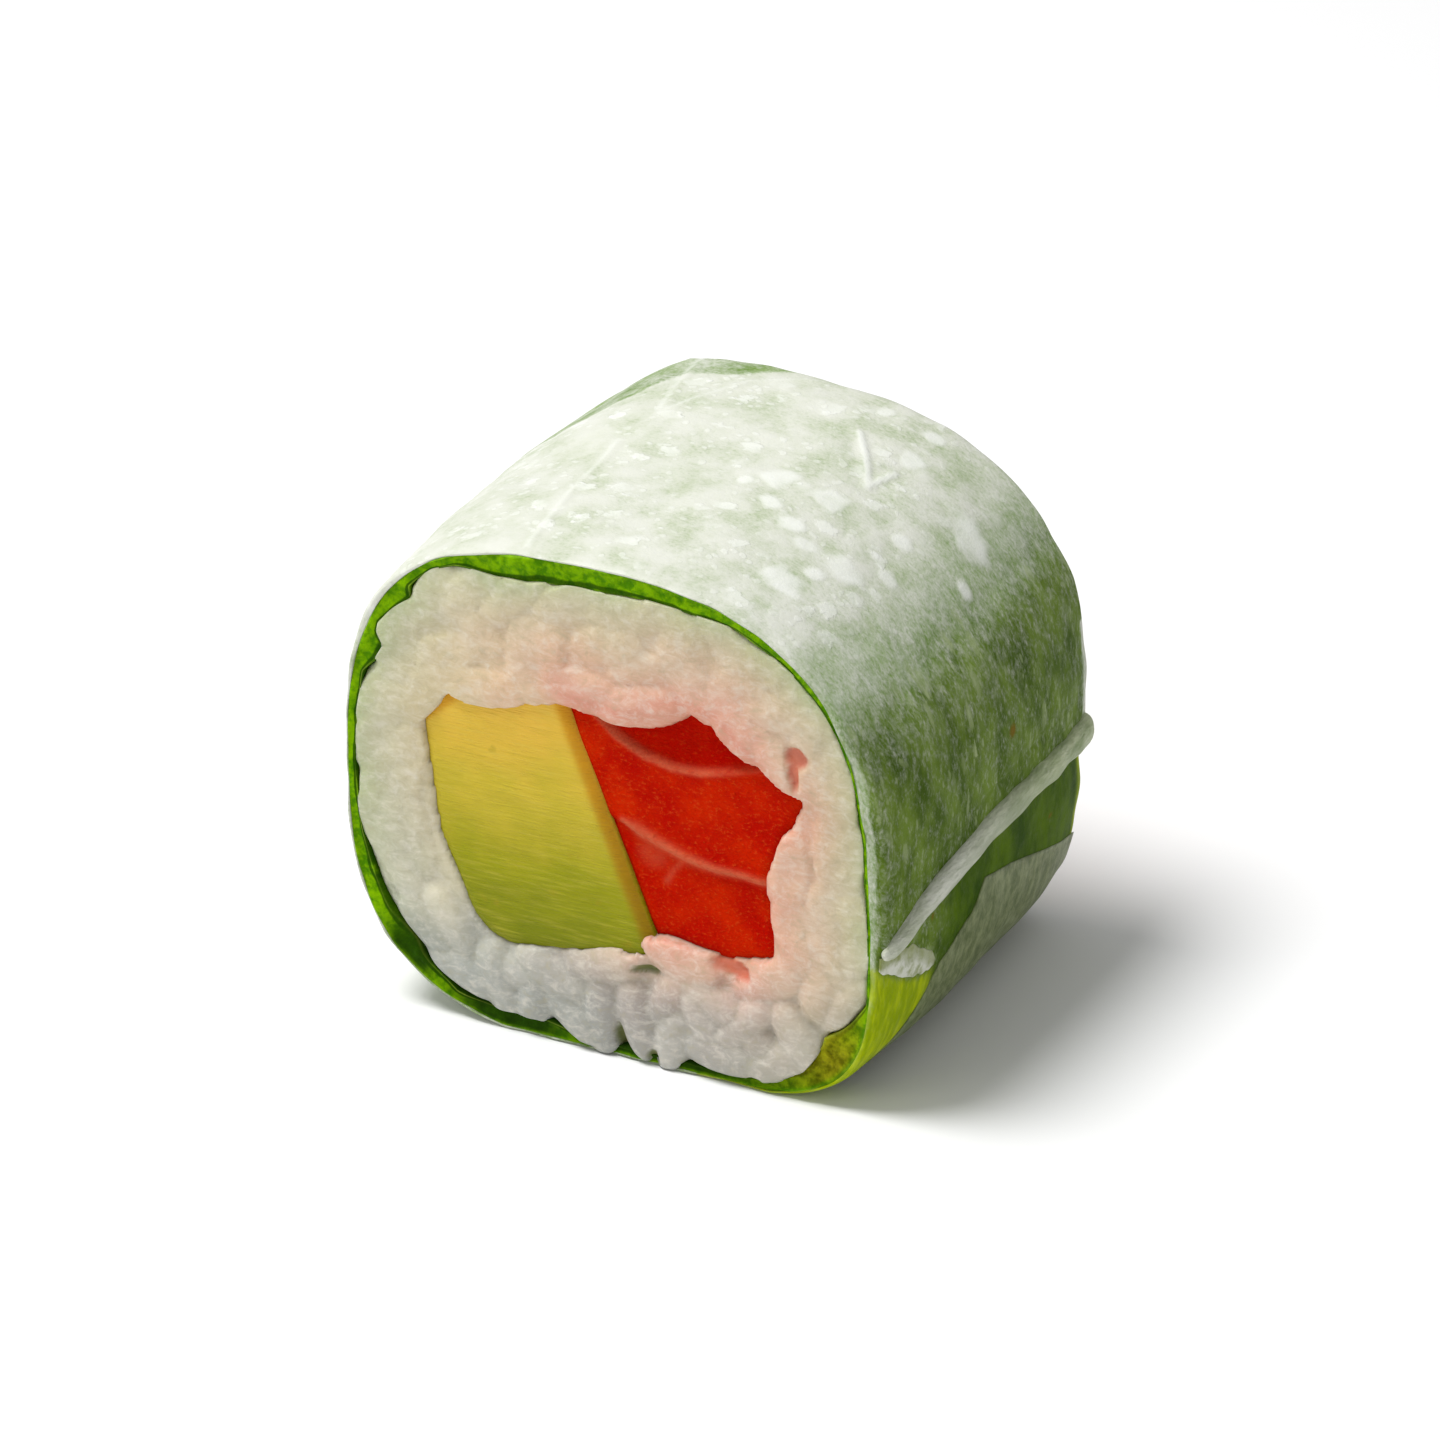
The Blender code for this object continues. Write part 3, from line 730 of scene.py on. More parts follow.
low = ramp_up(-flat[:, 1] + cloud * 2, -12, -4) * (1 - 0.3 * ramp_up(flat[:, 0], 6, 14))
paint(rice, "low", numpy.maximum(low, 0.4 * ramp_up(cloud - flat[:, 0], 11, 16)))
paint(rice, "cream", ramp_up(flat[:, 1], 8, 22) * numpy.exp(-to_avocado / 5))
paint(rice, "pink", numpy.clip(numpy.exp(-to_salmon / 4.5) * (1.05 + 0.4 * cloud), 0, 1) * (0.45 + 0.55 * ramp_up(flat[:, 1], 3, 10)))
paint(rice, "veil", ramp_up(to_salmon, 0, 0.7) * within(flat, salmon_outline))
paint(rice, "gap", gap)
paint(rice, "red_gap", red_gap)
paint(rice, "green", numpy.clip(numpy.exp(-to_leaf / 2.0) * (1.0 + 0.5 * cloud) * ramp_up(flat[:, 1], 3, 14), 0, 1))
# Painted shade where the rice lies set back from the cut face
paint(rice, "deep", 1 - ramp_up(depth_y, 14.3, 15.1))
first = numpy.full(len(at), 99.0)
second = numpy.full(len(at), 99.0)
tone = numpy.zeros(len(at))
for grain_side, placed, size in laid:
    near = numpy.flatnonzero(side == grain_side)
    local = (at[near] @ placed[:3, :3].T + placed[:3, 3]) / size
    away = numpy.sqrt((local ** 2).sum(axis=1))
    nearest = away < first[near]
    second[near] = numpy.where(nearest, first[near], numpy.minimum(second[near], away))
    tone[near[nearest]] = rng.random()
    first[near] = numpy.minimum(first[near], away)
calm_share = 1 - 0.75 * ramp_up(flat[:, 1], 6, 14)
between = numpy.exp(-(((second - first) / 0.12) ** 2))
paint(rice, "tone", tone * calm_share * (1 - ramp_up(first, 1.1, 1.5)))
# Painted shade: darker where smoothing would lift a point out of a crease, and along the seams between grains
painted_crease_shade = numpy.maximum(ramp_up(crease_depth(rice, 12), 0.03, 0.22), between * 0.4)
paint(rice, "crease", painted_crease_shade * calm_share)

bm = bmesh.new()
packed_core(bm, (rice_rims[-1] - (0, 18)) * 0.96 + (0, 18), -13.2, 13.2)
bmesh.ops.recalc_face_normals(bm, faces=bm.faces)
core = mesh_piece("rice_core", bm, rice_material, None)

# Lettuce. One soft leaf laid round the rice: bright green where it is cut, with painted shade low down by the floor,
# thick at the top where it doubles, and pushed into the two lower corners.
AROUND = 480
PAPER_DEPTHS = (
    (-180, 0.25), (-45, 0.25), (-30, 0.55), (-20, 0.75), (-10, 0.85), (0, 1.05), (12, 1.15), (20, 1.1), (30, 0.75),
    (40, 0.45), (55, 0.27), (100, 0.25), (130, 0.3), (140, 0.5), (152, 0.6), (163, 0.4), (172, 0.25), (180, 0.25),
)


def leaf_finish():
    finish = Finish("lettuce", Roughness=0.4, Subsurface_Weight=0.1, Subsurface_Scale=0.8 * MM)
    finish.shader.inputs["Specular IOR Level"].default_value = 0.02
    finish.shader.inputs["Subsurface Radius"].default_value = (0.4, 1, 0.1)
    place = finish.place()
    streaks = finish.mottle(finish.place((1, 0.4, 1)), 1.4, 4, 0.6)
    across = finish.attribute("across")
    base = finish.mix(streaks.rise(0.35, 0.65), srgb(72, 126, 0), srgb(124, 174, 0))
    wander = across + (finish.mottle(place, 0.5, 2) - 0.5) * 0.5
    line = wander.rise(0.72, 0.84) * (1 - wander.rise(0.96, 1.08))
    base = finish.mix(line * 0.85, base, srgb(28, 66, 0))
    # Painted shade on the leaf low down by the floor (the fold mask)
    base = finish.mix(finish.attribute("fold"), base, finish.mix(streaks, srgb(14, 34, 0), srgb(46, 84, 2)))
    base = finish.mix(finish.attribute("olive"), base, finish.mix(streaks.rise(0.3, 0.7), srgb(84, 84, 0), srgb(150, 150, 20)))
    base = finish.mix((1 - across.rise(0.0, 0.1)) * 0.3, base, srgb(150, 186, 60))
    base = finish.mix(across.rise(0.93, 1.0) * 0.5, base, srgb(160, 176, 70))
    finish.wire("Base Color", base)
    finish.wire("Normal", finish.bumps(streaks, 0.2 * MM))
    return finish.material


def leaf_profile():
    """The leaf's section as pairs: share of its thickness from outside in, and place along the roll."""
    outside = [(0, -1 + 2 * i / 8) for i in range(9)]
    far_end = [(i / 9, 1) for i in range(1, 9)]
    inside = [(1, 1 - 2 * i / 8) for i in range(9)]
    near_end = [(1 - i / 9, -1) for i in range(1, 9)]
    return outside + far_end + inside + near_end


def wrapped_tube(name, profile, around, shape, material, node):
    """A closed tube: a flat grid, rolled round the filling by shape(turn, row) and welded to itself."""
    bm = bmesh.new()
    rows = len(profile)
    bmesh.ops.create_grid(bm, x_segments=around, y_segments=rows, size=0.5)
    columns = []
    for v in bm.verts:
        turn = round((v.co.x + 0.5) * around) % around
        row = round((v.co.y + 0.5) * rows) % rows
        columns.append((turn, row))
    for v, (turn, row) in zip(bm.verts, columns):
        v.co = shape(turn, row)
    bmesh.ops.remove_doubles(bm, verts=bm.verts, dist=1e-7)
    bmesh.ops.recalc_face_normals(bm, faces=bm.faces)
    return mesh_piece(name, bm, material, node)


leaf_rows = leaf_profile()


def leaf_shape(turn, row):
    angle = 2 * math.pi * turn / AROUND
    across, along = leaf_rows[row]
    inner = rice_depth(angle) + 0.1
    outer = by_angle(PAPER_DEPTHS, angle) + 0.02
    depth = outer + (inner - outer) * across
    y = along * 15.4
    if abs(along) == 1:
        ruffle = noise.noise(Vector((angle * 9, across * 1.3, along * 4)))
        thick = min(max((inner - 1.0) / 1.2, 0), 1)
        y = along * (15.46 + 0.16 * ruffle - 0.1 * across - 0.15 * thick * across)
    return layer_point(angle, depth, y) * MM


leaf = wrapped_tube("lettuce_leaf", leaf_rows, AROUND, leaf_shape, leaf_finish(), "lettuce")
at = points_of(leaf)
flat = at[:, [0, 2]] / MM
bearing = numpy.degrees(numpy.arctan2(flat[:, 1] - CENTRE_HEIGHT, flat[:, 0]))
outside_line = ring_outline(lambda angle: by_angle(PAPER_DEPTHS, angle) + 0.02)
to_outside = distance_to(flat, outside_line)
to_inside = distance_to(flat, rice_rims[-1])
paint(leaf, "across", to_outside / numpy.maximum(to_outside + to_inside, 1e-6))
# Painted shade where the leaf nears the floor, centred on these bearings in degrees
painted_floor_shade = numpy.zeros(len(at))
for middle, reach_degrees in ((-113, 14), (-137, 6), (-78, 22)):
    painted_floor_shade = numpy.maximum(painted_floor_shade, numpy.exp(-(((bearing - middle) / reach_degrees) ** 2)))
paint(leaf, "fold", numpy.minimum(painted_floor_shade * 1.3, 1) * ramp_up(to_outside, -0.1, 0.25))
paint(leaf, "olive", numpy.exp(-(((bearing + 42) / 10) ** 2)) * ramp_up(to_outside, 0.0, 0.4))

# Rice paper. A round sheet softened in water and rolled tight: milky where it lies double over the top, its white
# there partly painted sheen, nearly clear over the leaf on the sides, blotched with trapped air, and creased along
# the roll.
PAPER_AROUND = 600
PAPER_ALONG = 140
HEM = ((-15.5, 123.5), (-9.2, 125.5), (-1.8, 126.5), (6.0, 126.6), (15.5, 126.3))
CREASES = (
    ((-14.5, 37.0), (-6.5, 37.7), (1.2, 38.1)), ((6.0, 37.4), (10.0, 38.2), (15.5, 38.9)),
    ((5.5, 37.2), (8.5, 35.9), (12.2, 34.0), (15.0, 30.0)),
)
FILM_EDGE = ((24.0, 17.0), (32.1, 15.2), (35.1, 12.8), (38.5, 11.8), (39.7, 9.8), (41.2, 8.0), (42.8, 7.0), (44.7, 4.8), (50.0, 1.0), (60, -6))
PUCKER = ((24.8, 9.4), (23.3, 7.2), (21.6, 4.2), (21.0, 6.9))
BLOTCHES = (
    (14.9, 6.5, 1.9), (20.6, -9.5, 1.6), (18.7, -4.8, 1.3), (21.6, -5.0, 0.9), (22.7, 0.5, 1.5),
    (26.4, 0.8, 1.2), (24.8, 13.5, 0.8), (23.2, -3.8, 1.0), (20.9, 13.0, 0.9), (19.6, -7.4, 0.8),
    (17.4, 1.2, 0.7), (16.2, -2.6, 0.8), (12.4, 3.0, 0.6), (25.4, -2.4, 0.8), (28.0, -0.6, 0.7), (20.9, 9.2, 1.0),
)

FOLD_TOP = ((-15.4, 123.2), (-12.8, 122.9), (-10.8, 122.1), (-8.6, 120.6), (-8.0, 119.8))
FOLD_FOOT = ((-15.4, 122.2), (-14.2, 121.5), (-12.5, 120.5), (-10.2, 119.6), (-8.0, 119.4))
RUST = ((2.6, 2.4, 0.6), (122.4, 9.6, 0.25), (117.6, 13.2, 0.25), (123.4, -8.6, 0.25))  # small brown specks

circle = numpy.array([tuple(layer_point(2 * math.pi * i / 1440, 0, -15.5).xz) for i in range(1441)])
circle_arc = numpy.concatenate([[0], numpy.cumsum(numpy.hypot(*numpy.diff(circle, axis=0).T))])
PERIMETER = circle_arc[-1]


def angle_at(s):
    """The direction of the point that far round the outside from the right."""
    return float(numpy.interp(s % PERIMETER, circle_arc, numpy.linspace(0, 2 * math.pi, 1441)))


angles_of_column = [angle_at(PERIMETER * i / PAPER_AROUND) for i in range(PAPER_AROUND)]


def at_y(line, y):
    ys, values = zip(*line)
    return float(numpy.interp(y, ys, values))


def past_hem(s, y):
    """How far round from the hem, upwards, from -half to +half of the way round."""
    return (s - at_y(HEM, y) + PERIMETER / 2) % PERIMETER - PERIMETER / 2


def paper_height(s, y):
    """How far the paper's face stands out at a place on it, in millimetres."""
    here = Vector((s, y, 0))
    total = 0.16 * noise.noise(here / 7) + 0.07 * noise.noise(here / 2.2 + Vector((5, 5, 5)))
    for line in CREASES:
        fade = min(y - line[0][0], line[-1][0] - y, 1)
        if fade > 0:
            total += 0.1 * fade * math.exp(-(((s - at_y(line, y)) / 0.28) ** 2))
    if 16 < s < 28 and 2 < y < 14:
        near = float(distance_to(numpy.array([[s, y]]), PUCKER, False)[0])
        total += 0.15 * math.exp(-((near / 0.38) ** 2)) - 0.1 * math.exp(-((near / 1.1) ** 2))
    up = past_hem(s, y)
    total += 0.35 * max(min(up / 0.4, 1), 0) * max(min((14 - up) / 3, 1), 0)
    if up < 0:
        total -= 0.12 * math.exp(-(((up + 1.5) / 1.5) ** 2))
    return total


paper_rows = [(0, -1 + 2 * i / PAPER_ALONG) for i in range(PAPER_ALONG + 1)]
paper_rows += [(i / 5, 1) for i in range(1, 5)]
paper_rows += [(1, 1 - 2 * i / 6) for i in range(7)]
paper_rows += [(1 - i / 5, -1) for i in range(1, 5)]


def paper_shape(turn, row):
    across, along = paper_rows[row]
    angle = angles_of_column[turn]
    y = along * 15.5
    s = PERIMETER * turn / PAPER_AROUND
    lip = 0.25 * noise.noise(Vector((s / 3, along * 3, 9)))
    y += along * abs(along) ** 8 * lip
    if abs(along) == 1:
        y -= along * 0.16 * max(1 - 2 * across, 0) ** 4
    stand = paper_height(s, along * 15.5) * (1 - across)
    soft = 0.12 * abs(along) ** 30 * (1 - across)
    return layer_point(angle, soft - stand + by_angle(PAPER_DEPTHS, angle) * across, y) * MM


def paper_finish():
    finish = Finish("rice_paper", Subsurface_Weight=0.05, Coat_Roughness=0.3)
    finish.shader.inputs["Subsurface Scale"].default_value = 0.8 * MM
    finish.shader.inputs["Subsurface Radius"].default_value = (1, 1, 0.8)
    finish.shader.inputs["Specular IOR Level"].default_value = 0.02
    unrolled = finish.node("ShaderNodeUVMap", {"uv_map": "unrolled"}, ())

    def stretched(around, along):
        sockets = (unrolled, (around, along, 1))
        return finish.node("ShaderNodeVectorMath", {"operation": "MULTIPLY"}, sockets)

    def warped(around, along, swirl):
        sockets = {"Vector": stretched(around, along), "Scale": 1.1, "Detail": 3}
        drift = finish.node("ShaderNodeTexNoise", {}, sockets, "Color")
        drift = finish.node("ShaderNodeVectorMath", {"operation": "MULTIPLY"}, (drift, (swirl, swirl, 0)))
        return finish.node("ShaderNodeVectorMath", {"operation": "ADD"}, (stretched(around, along), drift))

    film = finish.attribute("film")
    side = finish.attribute("side")
    bare = (1 - finish.attribute("dark")) * (1 - finish.attribute("young"))
    leaf_cloud = finish.mottle(stretched(0.6, 1), 0.3, 4, 0.6)
    leaf_vein = finish.mottle(stretched(0.3, 1), 1.3, 4, 0.6)
    green = finish.mix(leaf_cloud.rise(0.3, 0.7), srgb(62, 86, 14), srgb(110, 134, 48))
    green = finish.mix(leaf_vein.rise(0.5, 0.75) * 0.2, green, srgb(132, 152, 76))
    green = finish.mix(film.rise(0.15, 0.6) * 0.8, green, srgb(110, 146, 62))
    # Darker leaf under clear film below the hem, partly painted shade
    leaf_dark_and_shaded = finish.mix(leaf_cloud.rise(0.3, 0.7), srgb(44, 72, 0), srgb(84, 112, 0))
    green = finish.mix(finish.attribute("dark"), green, leaf_dark_and_shaded)
    young_leaf = finish.mix(leaf_vein.rise(0.4, 0.7), srgb(138, 160, 0), srgb(176, 192, 14))
    green = finish.mix(finish.attribute("young"), green, young_leaf)
    round_air = finish.mottle(stretched(1, 1), 0.3, 4, 0.62)
    long_air = finish.mottle(stretched(0.6, 1), 1.5, 5, 0.72)
    air = round_air + (long_air - round_air) * side
    mist = finish.mottle(stretched(0.7, 1), 3.4, 3, 0.7)
    grit = finish.mottle(stretched(0.7, 1), 5.5, 2, 0.6)
    cover = film + (air - 0.5) * 1.2 + (mist - 0.5) * 0.7 + (grit - 0.5) * 0.5
    cover = cover.rise(0, 1) * (bare * 0.85 + 0.15)
    patchy = finish.mottle(stretched(1, 1), 0.16, 2)

    def blobs(place, scale, size, where):
        edge = finish.spots(place, scale) + (mist - 0.5) * 0.35
        return (1 - edge.rise(size, size + 0.12)) * where

    blob = blobs(warped(0.85, 1, 1.6), 0.45, 0.22, patchy.rise(0.42, 0.58))
    fleck = blobs(warped(0.85, 1, 0.8), 1.2, 0.2, patchy.rise(0.36, 0.52))
    trail = blobs(warped(0.36, 1, 0.8), 0.75, 0.18, patchy.rise(0.4, 0.6))
    dash = blobs(warped(0.42, 1, 0.6), 1.7, 0.15, patchy.rise(0.4, 0.55))
    white = (blob * 0.8 + fleck * 0.5) * (1 - side * 0.75) * film
    # Milky film; over the top its white is partly painted sheen
    milk = finish.mix(air.rise(0.3, 0.7), srgb(196, 200, 182), srgb(212, 213, 203))
    base = finish.mix(cover * 0.97, green, milk)
    base = finish.mix((trail * 0.6 + dash * 0.5).fit() * side * bare, base, srgb(156, 170, 122))
    base = finish.mix(finish.attribute("rust"), base, srgb(120, 88, 0))
    # Air blotches, plus painted highlight on the pucker and the creases
    white = finish.node("ShaderNodeMath", {"operation": "MAXIMUM"}, (white.fit() * 0.85, finish.attribute("blotch")))
    base = finish.mix(white, base, srgb(226, 228, 221))
    finish.wire("Base Color", base)
    finish.wire("Roughness", 0.5 - cover * 0.1 + (mist - 0.5) * 0.15)
    finish.wire("Coat Weight", cover * 0.2)
    finish.wire("Normal", finish.bumps(air + mist * 0.4 + white * 0.5, 0.12 * MM))
    return finish.material


paper = wrapped_tube("rice_paper_sheet", paper_rows, PAPER_AROUND, paper_shape, paper_finish(), "rice_paper")


def unrolled_place(points):
    """Where points lie on the sheet: how far round, and how far along, in millimetres."""
    angles = numpy.arctan2(points[:, 2] / MM - CENTRE_HEIGHT, points[:, 0] / MM) % (2 * math.pi)
    table = numpy.arctan2(circle[:, 1] - CENTRE_HEIGHT, circle[:, 0]) % (2 * math.pi)
    table[0] = 0
    table[-1] = 2 * math.pi
    return numpy.stack([numpy.interp(angles, table, circle_arc), points[:, 1] / MM], axis=1)


def unroll(piece):
    """Gives a piece a UV map in millimetres round and along the roll."""
    mesh = piece.data
    place = unrolled_place(points_of(piece))
    shown = place.copy()
    towards_axis = points_of(piece)[:, [0, 2]] / MM - (0, CENTRE_HEIGHT)
    skin = numpy.interp(place[:, 0], circle_arc, numpy.hypot(*(circle - (0, CENTRE_HEIGHT)).T))
    under_skin = numpy.clip(skin - numpy.hypot(*towards_axis.T), 0, None)
    shown[:, 1] += numpy.sign(place[:, 1]) * under_skin * (numpy.abs(place[:, 1]) > 15)
    shown[:, 0] -= PERIMETER * (shown[:, 0] > PERIMETER * 0.75)  # the map's seam lies under the roll
    corner_verts = numpy.empty(len(mesh.loops), int)
    mesh.loops.foreach_get("vertex_index", corner_verts)
    corners = shown[corner_verts]
    starts = numpy.empty(len(mesh.polygons), int)
    totals = numpy.empty(len(mesh.polygons), int)
    mesh.polygons.foreach_get("loop_start", starts)
    mesh.polygons.foreach_get("loop_total", totals)
    for start, total in zip(starts, totals):
        around = corners[start:start + total, 0]
        if around.max() - around.min() > PERIMETER / 2:
            around[around < PERIMETER / 4] += PERIMETER
    layer = mesh.uv_layers.new(name="unrolled")
    layer.data.foreach_set("uv", corners.astype(numpy.float32).ravel())
    return place, under_skin


sheet_place, under_skin = unroll(paper)
s = sheet_place[:, 0]
y = sheet_place[:, 1]
wave = wrinkle(numpy.stack([s, y, s * 0], axis=1), 6, 3)
wavelet = wrinkle(numpy.stack([s, y, s * 0], axis=1), 1.1, 5)
# Milky over the top, where the white is partly painted sheen, clearing down the right side, and middling on the side
# that the photo hides
FILM_AND_SHEEN = (
    (0, 0.1), (4, 0.12), (9, 0.22), (13, 0.54), (17, 0.78), (24, 0.88), (40, 0.97), (48, 0.9), (60, 0.78),
    (75, 0.62), (95, 0.4), (108, 0.3), (117, 0.12), (122, 0.06), (127, 0.08), (PERIMETER, 0.1),
)
film = numpy.interp(s, *numpy.array(FILM_AND_SHEEN).T)
film = film + 0.08 * wave
edge_s, edge_y = numpy.array(FILM_EDGE).T
beyond = ramp_up(y - numpy.interp(s, edge_s, edge_y), -0.25, 0.25) * (1 - ramp_up(s + 2 * wave, 44, 54))
film = film * (1 - 0.55 * beyond * ramp_up(s, 26, 34))
cut_edge = ramp_up(numpy.abs(y), 15.1, 15.3) * ramp_up(under_skin, 0.2, 0.55)
front_band = ramp_up(-y, 13.4, 15.0) * ((s < 16) | (s > 124))
back_band = ramp_up(y, 14.2, 15.0) * ((s < 5) | (s > 126.6))
film = numpy.maximum(film, numpy.maximum(front_band * 0.2, cut_edge * 0.5))
film = numpy.maximum(film, back_band * 0.75)
paint(paper, "film", film)
paint(paper, "side", numpy.interp(s, (0, 9, 18, 75, 95, PERIMETER), (1, 1, 0, 0, 1, 1)))
hem_line = numpy.interp(y, *numpy.array(HEM).T)
under = hem_line - s
below_hem = (under > 0) & (under < 22)
above_tail = s - numpy.interp(y, *numpy.array(FOLD_FOOT).T)
young = ramp_up(-y, 7.5, 9.0) * ramp_up(-above_tail, -0.3, 0.5) * below_hem
young = numpy.maximum(young, 0.8 * ramp_up(y, 14.2, 15.0) * ramp_up(under, 0.5, 1.5) * below_hem)
paint(paper, "young", young)
# Below the hem: darker leaf under clear film, partly painted shade
paint(paper, "dark", ramp_up(under, -0.2, 0.4) * below_hem * ramp_up(y, -9, -5))
blotch = numpy.zeros(len(s))
for index, (where, along, size) in enumerate(BLOTCHES):
    wobble = 1 + 0.3 * wave + 0.6 * wavelet
    away = numpy.hypot((s - where) / 1.15, y - along) / (size * wobble)
    blotch = numpy.maximum(blotch, (0.7 + 0.25 * wavelet) * (1 - ramp_up(away, 0.5, 1.05)))
# Painted highlight: the pucker's and the creases' ridges are painted white
near = distance_to(sheet_place, PUCKER, False)
blotch = numpy.maximum(blotch, 0.8 * (1 - ramp_up(near, 0.1, 0.4)))
for line in CREASES:
    to_crease = distance_to(sheet_place, [(across, along) for along, across in line], False)
    blotch = numpy.maximum(blotch, (0.3 + 0.25 * wavelet) * (1 - ramp_up(to_crease, 0.1, 0.35)))
paint(paper, "blotch", blotch)
rust = numpy.zeros(len(s))
for where, along, size in RUST:
    rust = numpy.maximum(rust, 0.8 * (1 - ramp_up(numpy.hypot(s - where, y - along), size * 0.4, size)))
paint(paper, "rust", rust)

# Hem. The sheet's edge, rolled on itself into a thin cord as the roll was closed: it climbs along the
# right side, whitish where it is thick and greener where it thins.
HEM_WIDTHS = ((-15.6, 0.5), (-14.6, 0.85), (-8, 1.08), (2, 1.12), (12, 1.1), (15.6, 1.2))
HEM_SEGMENTS = 24
HEM_STEPS = 150


def hem_finish():
    finish = Finish("hem", Roughness=0.45, Coat_Weight=0.05, Coat_Roughness=0.3)
    finish.shader.inputs["Specular IOR Level"].default_value = 0.25
    along = finish.mottle(finish.place((1, 0.3, 1)), 0.9, 4, 0.6)
    fine = finish.mottle(finish.place((1, 0.35, 1)), 3.2, 3, 0.6)
    whitish = finish.mix(along.rise(0.3, 0.7), srgb(166, 172, 148), srgb(208, 210, 196))
    greener = finish.mix(along.rise(0.3, 0.7), srgb(116, 138, 74), srgb(178, 188, 142))
    towards_back = finish.node("ShaderNodeSeparateXYZ", {}, (finish.place(),), 1)
    base = finish.mix((towards_back + along * 8 - 4).rise(-8, 8) * 0.8, whitish, greener)
    base = finish.mix(fine.rise(0.5, 0.75) * 0.35, base, srgb(124, 140, 92))
    finish.wire("Base Color", base)
    finish.wire("Normal", finish.bumps(fine + along, 0.16 * MM))
    return finish.material


def on_sheet(s, y, stand):
    """A place on the sheet, raised by stand, in metres."""
    return layer_point(angle_at(s), -stand, y) * MM


bm = bmesh.new()
rings = []
for step in range(HEM_STEPS + 1):
    share = step / HEM_STEPS
    y = -15.6 + 31.3 * share
    s = at_y(HEM, y) + 0.15 * noise.noise(Vector((0, y / 2.5, 1)))
    radius = at_y(HEM_WIDTHS, y) * (1 + 0.12 * noise.noise(Vector((3, y / 2, 1))))
    radius *= math.sqrt(max(1 - abs(2 * share - 1) ** 60, 0.02))
    ring = []
    for i in range(HEM_SEGMENTS):
        a = 2 * math.pi * i / HEM_SEGMENTS
        lump = 1 + 0.07 * noise.noise(Vector((math.cos(a) * 1.2, y / 3 + a * 0.3, math.sin(a) * 1.2)))
        stand = 0.24 + radius * 0.66 * lump * math.sin(a)
        ring.append(bm.verts.new(on_sheet(s + radius * lump * math.cos(a), y, stand)))
    rings.append([bm.edges.new((ring[i - 1], ring[i])) for i in range(HEM_SEGMENTS)])
for before, after in zip(rings, rings[1:]):
    bmesh.ops.bridge_loops(bm, edges=before + after)
bmesh.ops.holes_fill(bm, edges=[e for e in bm.edges if e.is_boundary])
bmesh.ops.recalc_face_normals(bm, faces=bm.faces)
hem = mesh_piece("rolled_hem", bm, hem_finish(), None)

# Under flap. Below the hem the sheet's first turn shows: a milky strip along the floor edge, cut
# slantwise, over bare leaf, with a small crumpled fold by the near cut.
STRIP_EDGE = ((-12.5, 113.0), (-10.2, 115.4), (-9.0, 117.0), (-7.2, 119.1), (-5.0, 119.9), (-2.5, 120.7), (-1.0, 122.6), (3.2, 121.7), (9.0, 120.0), (15.4, 118.0))
STRIP_FOOT = 106.0


def strip_finish():
    finish = Finish("under_flap", Roughness=0.45, Coat_Weight=0.05, Coat_Roughness=0.3)
    finish.shader.inputs["Specular IOR Level"].default_value = 0.2
    streaks = finish.mottle(finish.place((1, 0.8, 0.5)), 1.6, 5, 0.7)
    base = finish.mix(streaks.rise(0.3, 0.75), srgb(80, 94, 42), srgb(140, 149, 106))
    finish.wire("Base Color", base)
    finish.wire("Normal", finish.bumps(streaks, 0.12 * MM))
    return finish.material


def sheet_patch(name, columns, rows, place_of, material):
    """A thin patch on the sheet: a flat grid, laid by place_of."""
    bm = bmesh.new()
    bmesh.ops.create_grid(bm, x_segments=columns, y_segments=rows, size=0.5)
    for v in bm.verts:
        v.co = place_of(v.co.x + 0.5, v.co.y + 0.5)
    bmesh.ops.recalc_face_normals(bm, faces=bm.faces)
    return mesh_piece(name, bm, material, None)


def strip_place(across, along):
    y = -12.4 + 27.8 * along
    top = at_y(STRIP_EDGE, y)
    s = STRIP_FOOT + (top - STRIP_FOOT) * across
    place = on_sheet(s, y, paper_height(s, y) + 0.015)
    place.z = max(place.z, 0.07 * MM)
    return place


strip = sheet_patch("under_flap", 36, 90, strip_place, strip_finish())
thicken = strip.modifiers.new("sheet", "SOLIDIFY")
thicken.thickness = 0.07 * MM
thicken.offset = 0


def fold_place(across, along):
    y = -15.4 + 7.4 * along
    s = at_y(FOLD_FOOT, y) + (at_y(FOLD_TOP, y) - at_y(FOLD_FOOT, y)) * across
    s += 0.25 * noise.noise(Vector((across * 2, y * 1.3, 5)))
    crumple = 0.25 * noise.noise(Vector((s * 0.9, y * 0.6, 7))) + 0.08 * noise.noise(Vector((s * 2, y * 1.6, 3)))
    edge = min(across, 1 - across, along * 2, (1 - along) * 2) * 3
    return on_sheet(s, y, paper_height(s, y) - 0.06 + min(edge, 1) * (0.12 + crumple * 0.7))


def fold_finish():
    finish = Finish("fold", Roughness=0.4, Coat_Weight=0.05, Coat_Roughness=0.25)
    finish.shader.inputs["Specular IOR Level"].default_value = 0.25
    fine = finish.mottle(finish.place(), 0.8, 4, 0.6)
    lit = fine.rise(0.3, 0.7) * (0.4 + finish.attribute("lit") * 0.9)
    base = finish.mix(lit.fit(), srgb(132, 142, 74), srgb(212, 214, 200))
    finish.wire("Base Color", base)
    finish.wire("Normal", finish.bumps(fine, 0.2 * MM))
    return finish.material


fold = sheet_patch("crumpled_fold", 24, 44, fold_place, fold_finish())
fold_sheet = unrolled_place(points_of(fold))
paint(fold, "lit", ramp_up(numpy.interp(fold_sheet[:, 1], *numpy.array(FOLD_TOP).T) - fold_sheet[:, 0], 0.3, 1.3))
thicken = fold.modifiers.new("sheet", "SOLIDIFY")
thicken.thickness = 0.15 * MM
thicken.offset = 0

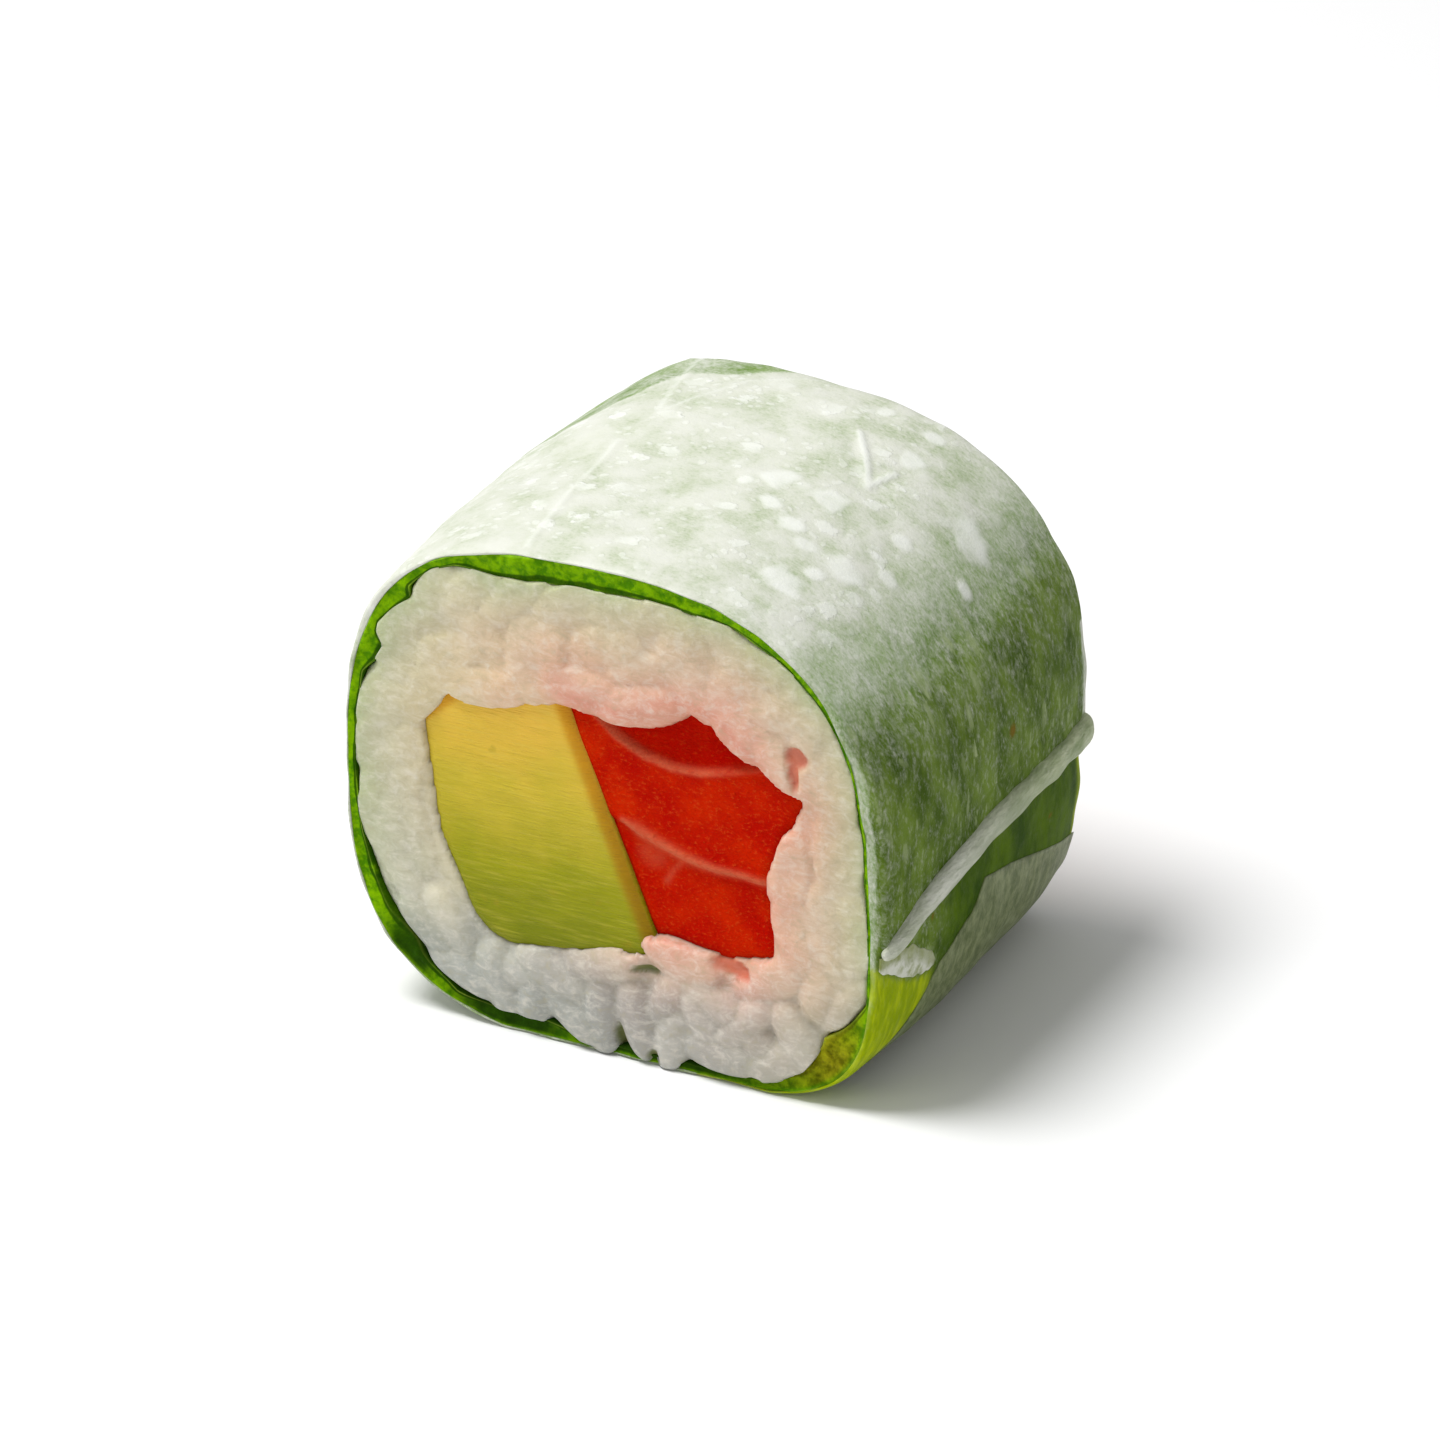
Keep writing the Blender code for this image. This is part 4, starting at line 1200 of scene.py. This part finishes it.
# Studio. A white table under soft light: a broad lamp above and to the front left, a weaker one in
# front, and an even white surround, so that the right side falls into shade as in the photo.
bm = bmesh.new()
bmesh.ops.create_grid(bm, x_segments=1, y_segments=1, size=2.0)
table_mesh = bpy.data.meshes.new("table")
bm.to_mesh(table_mesh)
bm.free()
table_finish = Finish("table", Roughness=0.9)
table_finish.shader.inputs["Base Color"].default_value = (0.86, 0.86, 0.86, 1)
table_finish.shader.inputs["Specular IOR Level"].default_value = 0.1
table_mesh.materials.append(table_finish.material)
table = bpy.data.objects.new("table", table_mesh)
bpy.context.scene.collection.objects.link(table)


def lamp(name, place, size, power):
    data = bpy.data.lights.new(name, "AREA")
    data.shape = "DISK"
    data.size = size
    data.energy = power
    item = bpy.data.objects.new(name, data)
    item.location = place
    item.rotation_euler = (Vector((0, 0, 0.018)) - Vector(place)).to_track_quat("-Z", "Y").to_euler()
    bpy.context.scene.collection.objects.link(item)


lamp("key", (-0.22, -0.12, 0.62), 0.3, 4.4)
lamp("front", (-0.35, -0.55, 0.25), 0.35, 0.5)
world = bpy.data.worlds.new("surround")
world.use_nodes = True
world.node_tree.nodes["Background"].inputs["Color"].default_value = (1, 1, 1, 1)
world.node_tree.nodes["Background"].inputs["Strength"].default_value = 0.42
bpy.context.scene.world = world
bpy.context.scene.view_settings.view_transform = "Standard"
bpy.context.scene.view_settings.look = "None"

# Camera. A long lens, as far off as the roll's perspective says.
AZIMUTH, ELEVATION = math.radians(26.92), math.radians(27.22)
DISTANCE = 0.6727
towards = Vector((math.sin(AZIMUTH) * math.cos(ELEVATION), -math.cos(AZIMUTH) * math.cos(ELEVATION), math.sin(ELEVATION)))
right = Vector((math.cos(AZIMUTH), math.sin(AZIMUTH), 0))
aim = Vector((0, 0, 0.01813)) + right * 0.00025 - towards.cross(right) * 0.00006
camera_data = bpy.data.cameras.new("camera")
camera_data.lens = 250
camera_data.sensor_width = 36
camera_data.clip_start = 0.01
camera = bpy.data.objects.new("camera", camera_data)
camera.location = aim + towards * DISTANCE
camera.rotation_euler = towards.to_track_quat("Z", "Y").to_euler()
bpy.context.scene.collection.objects.link(camera)
bpy.context.scene.camera = camera
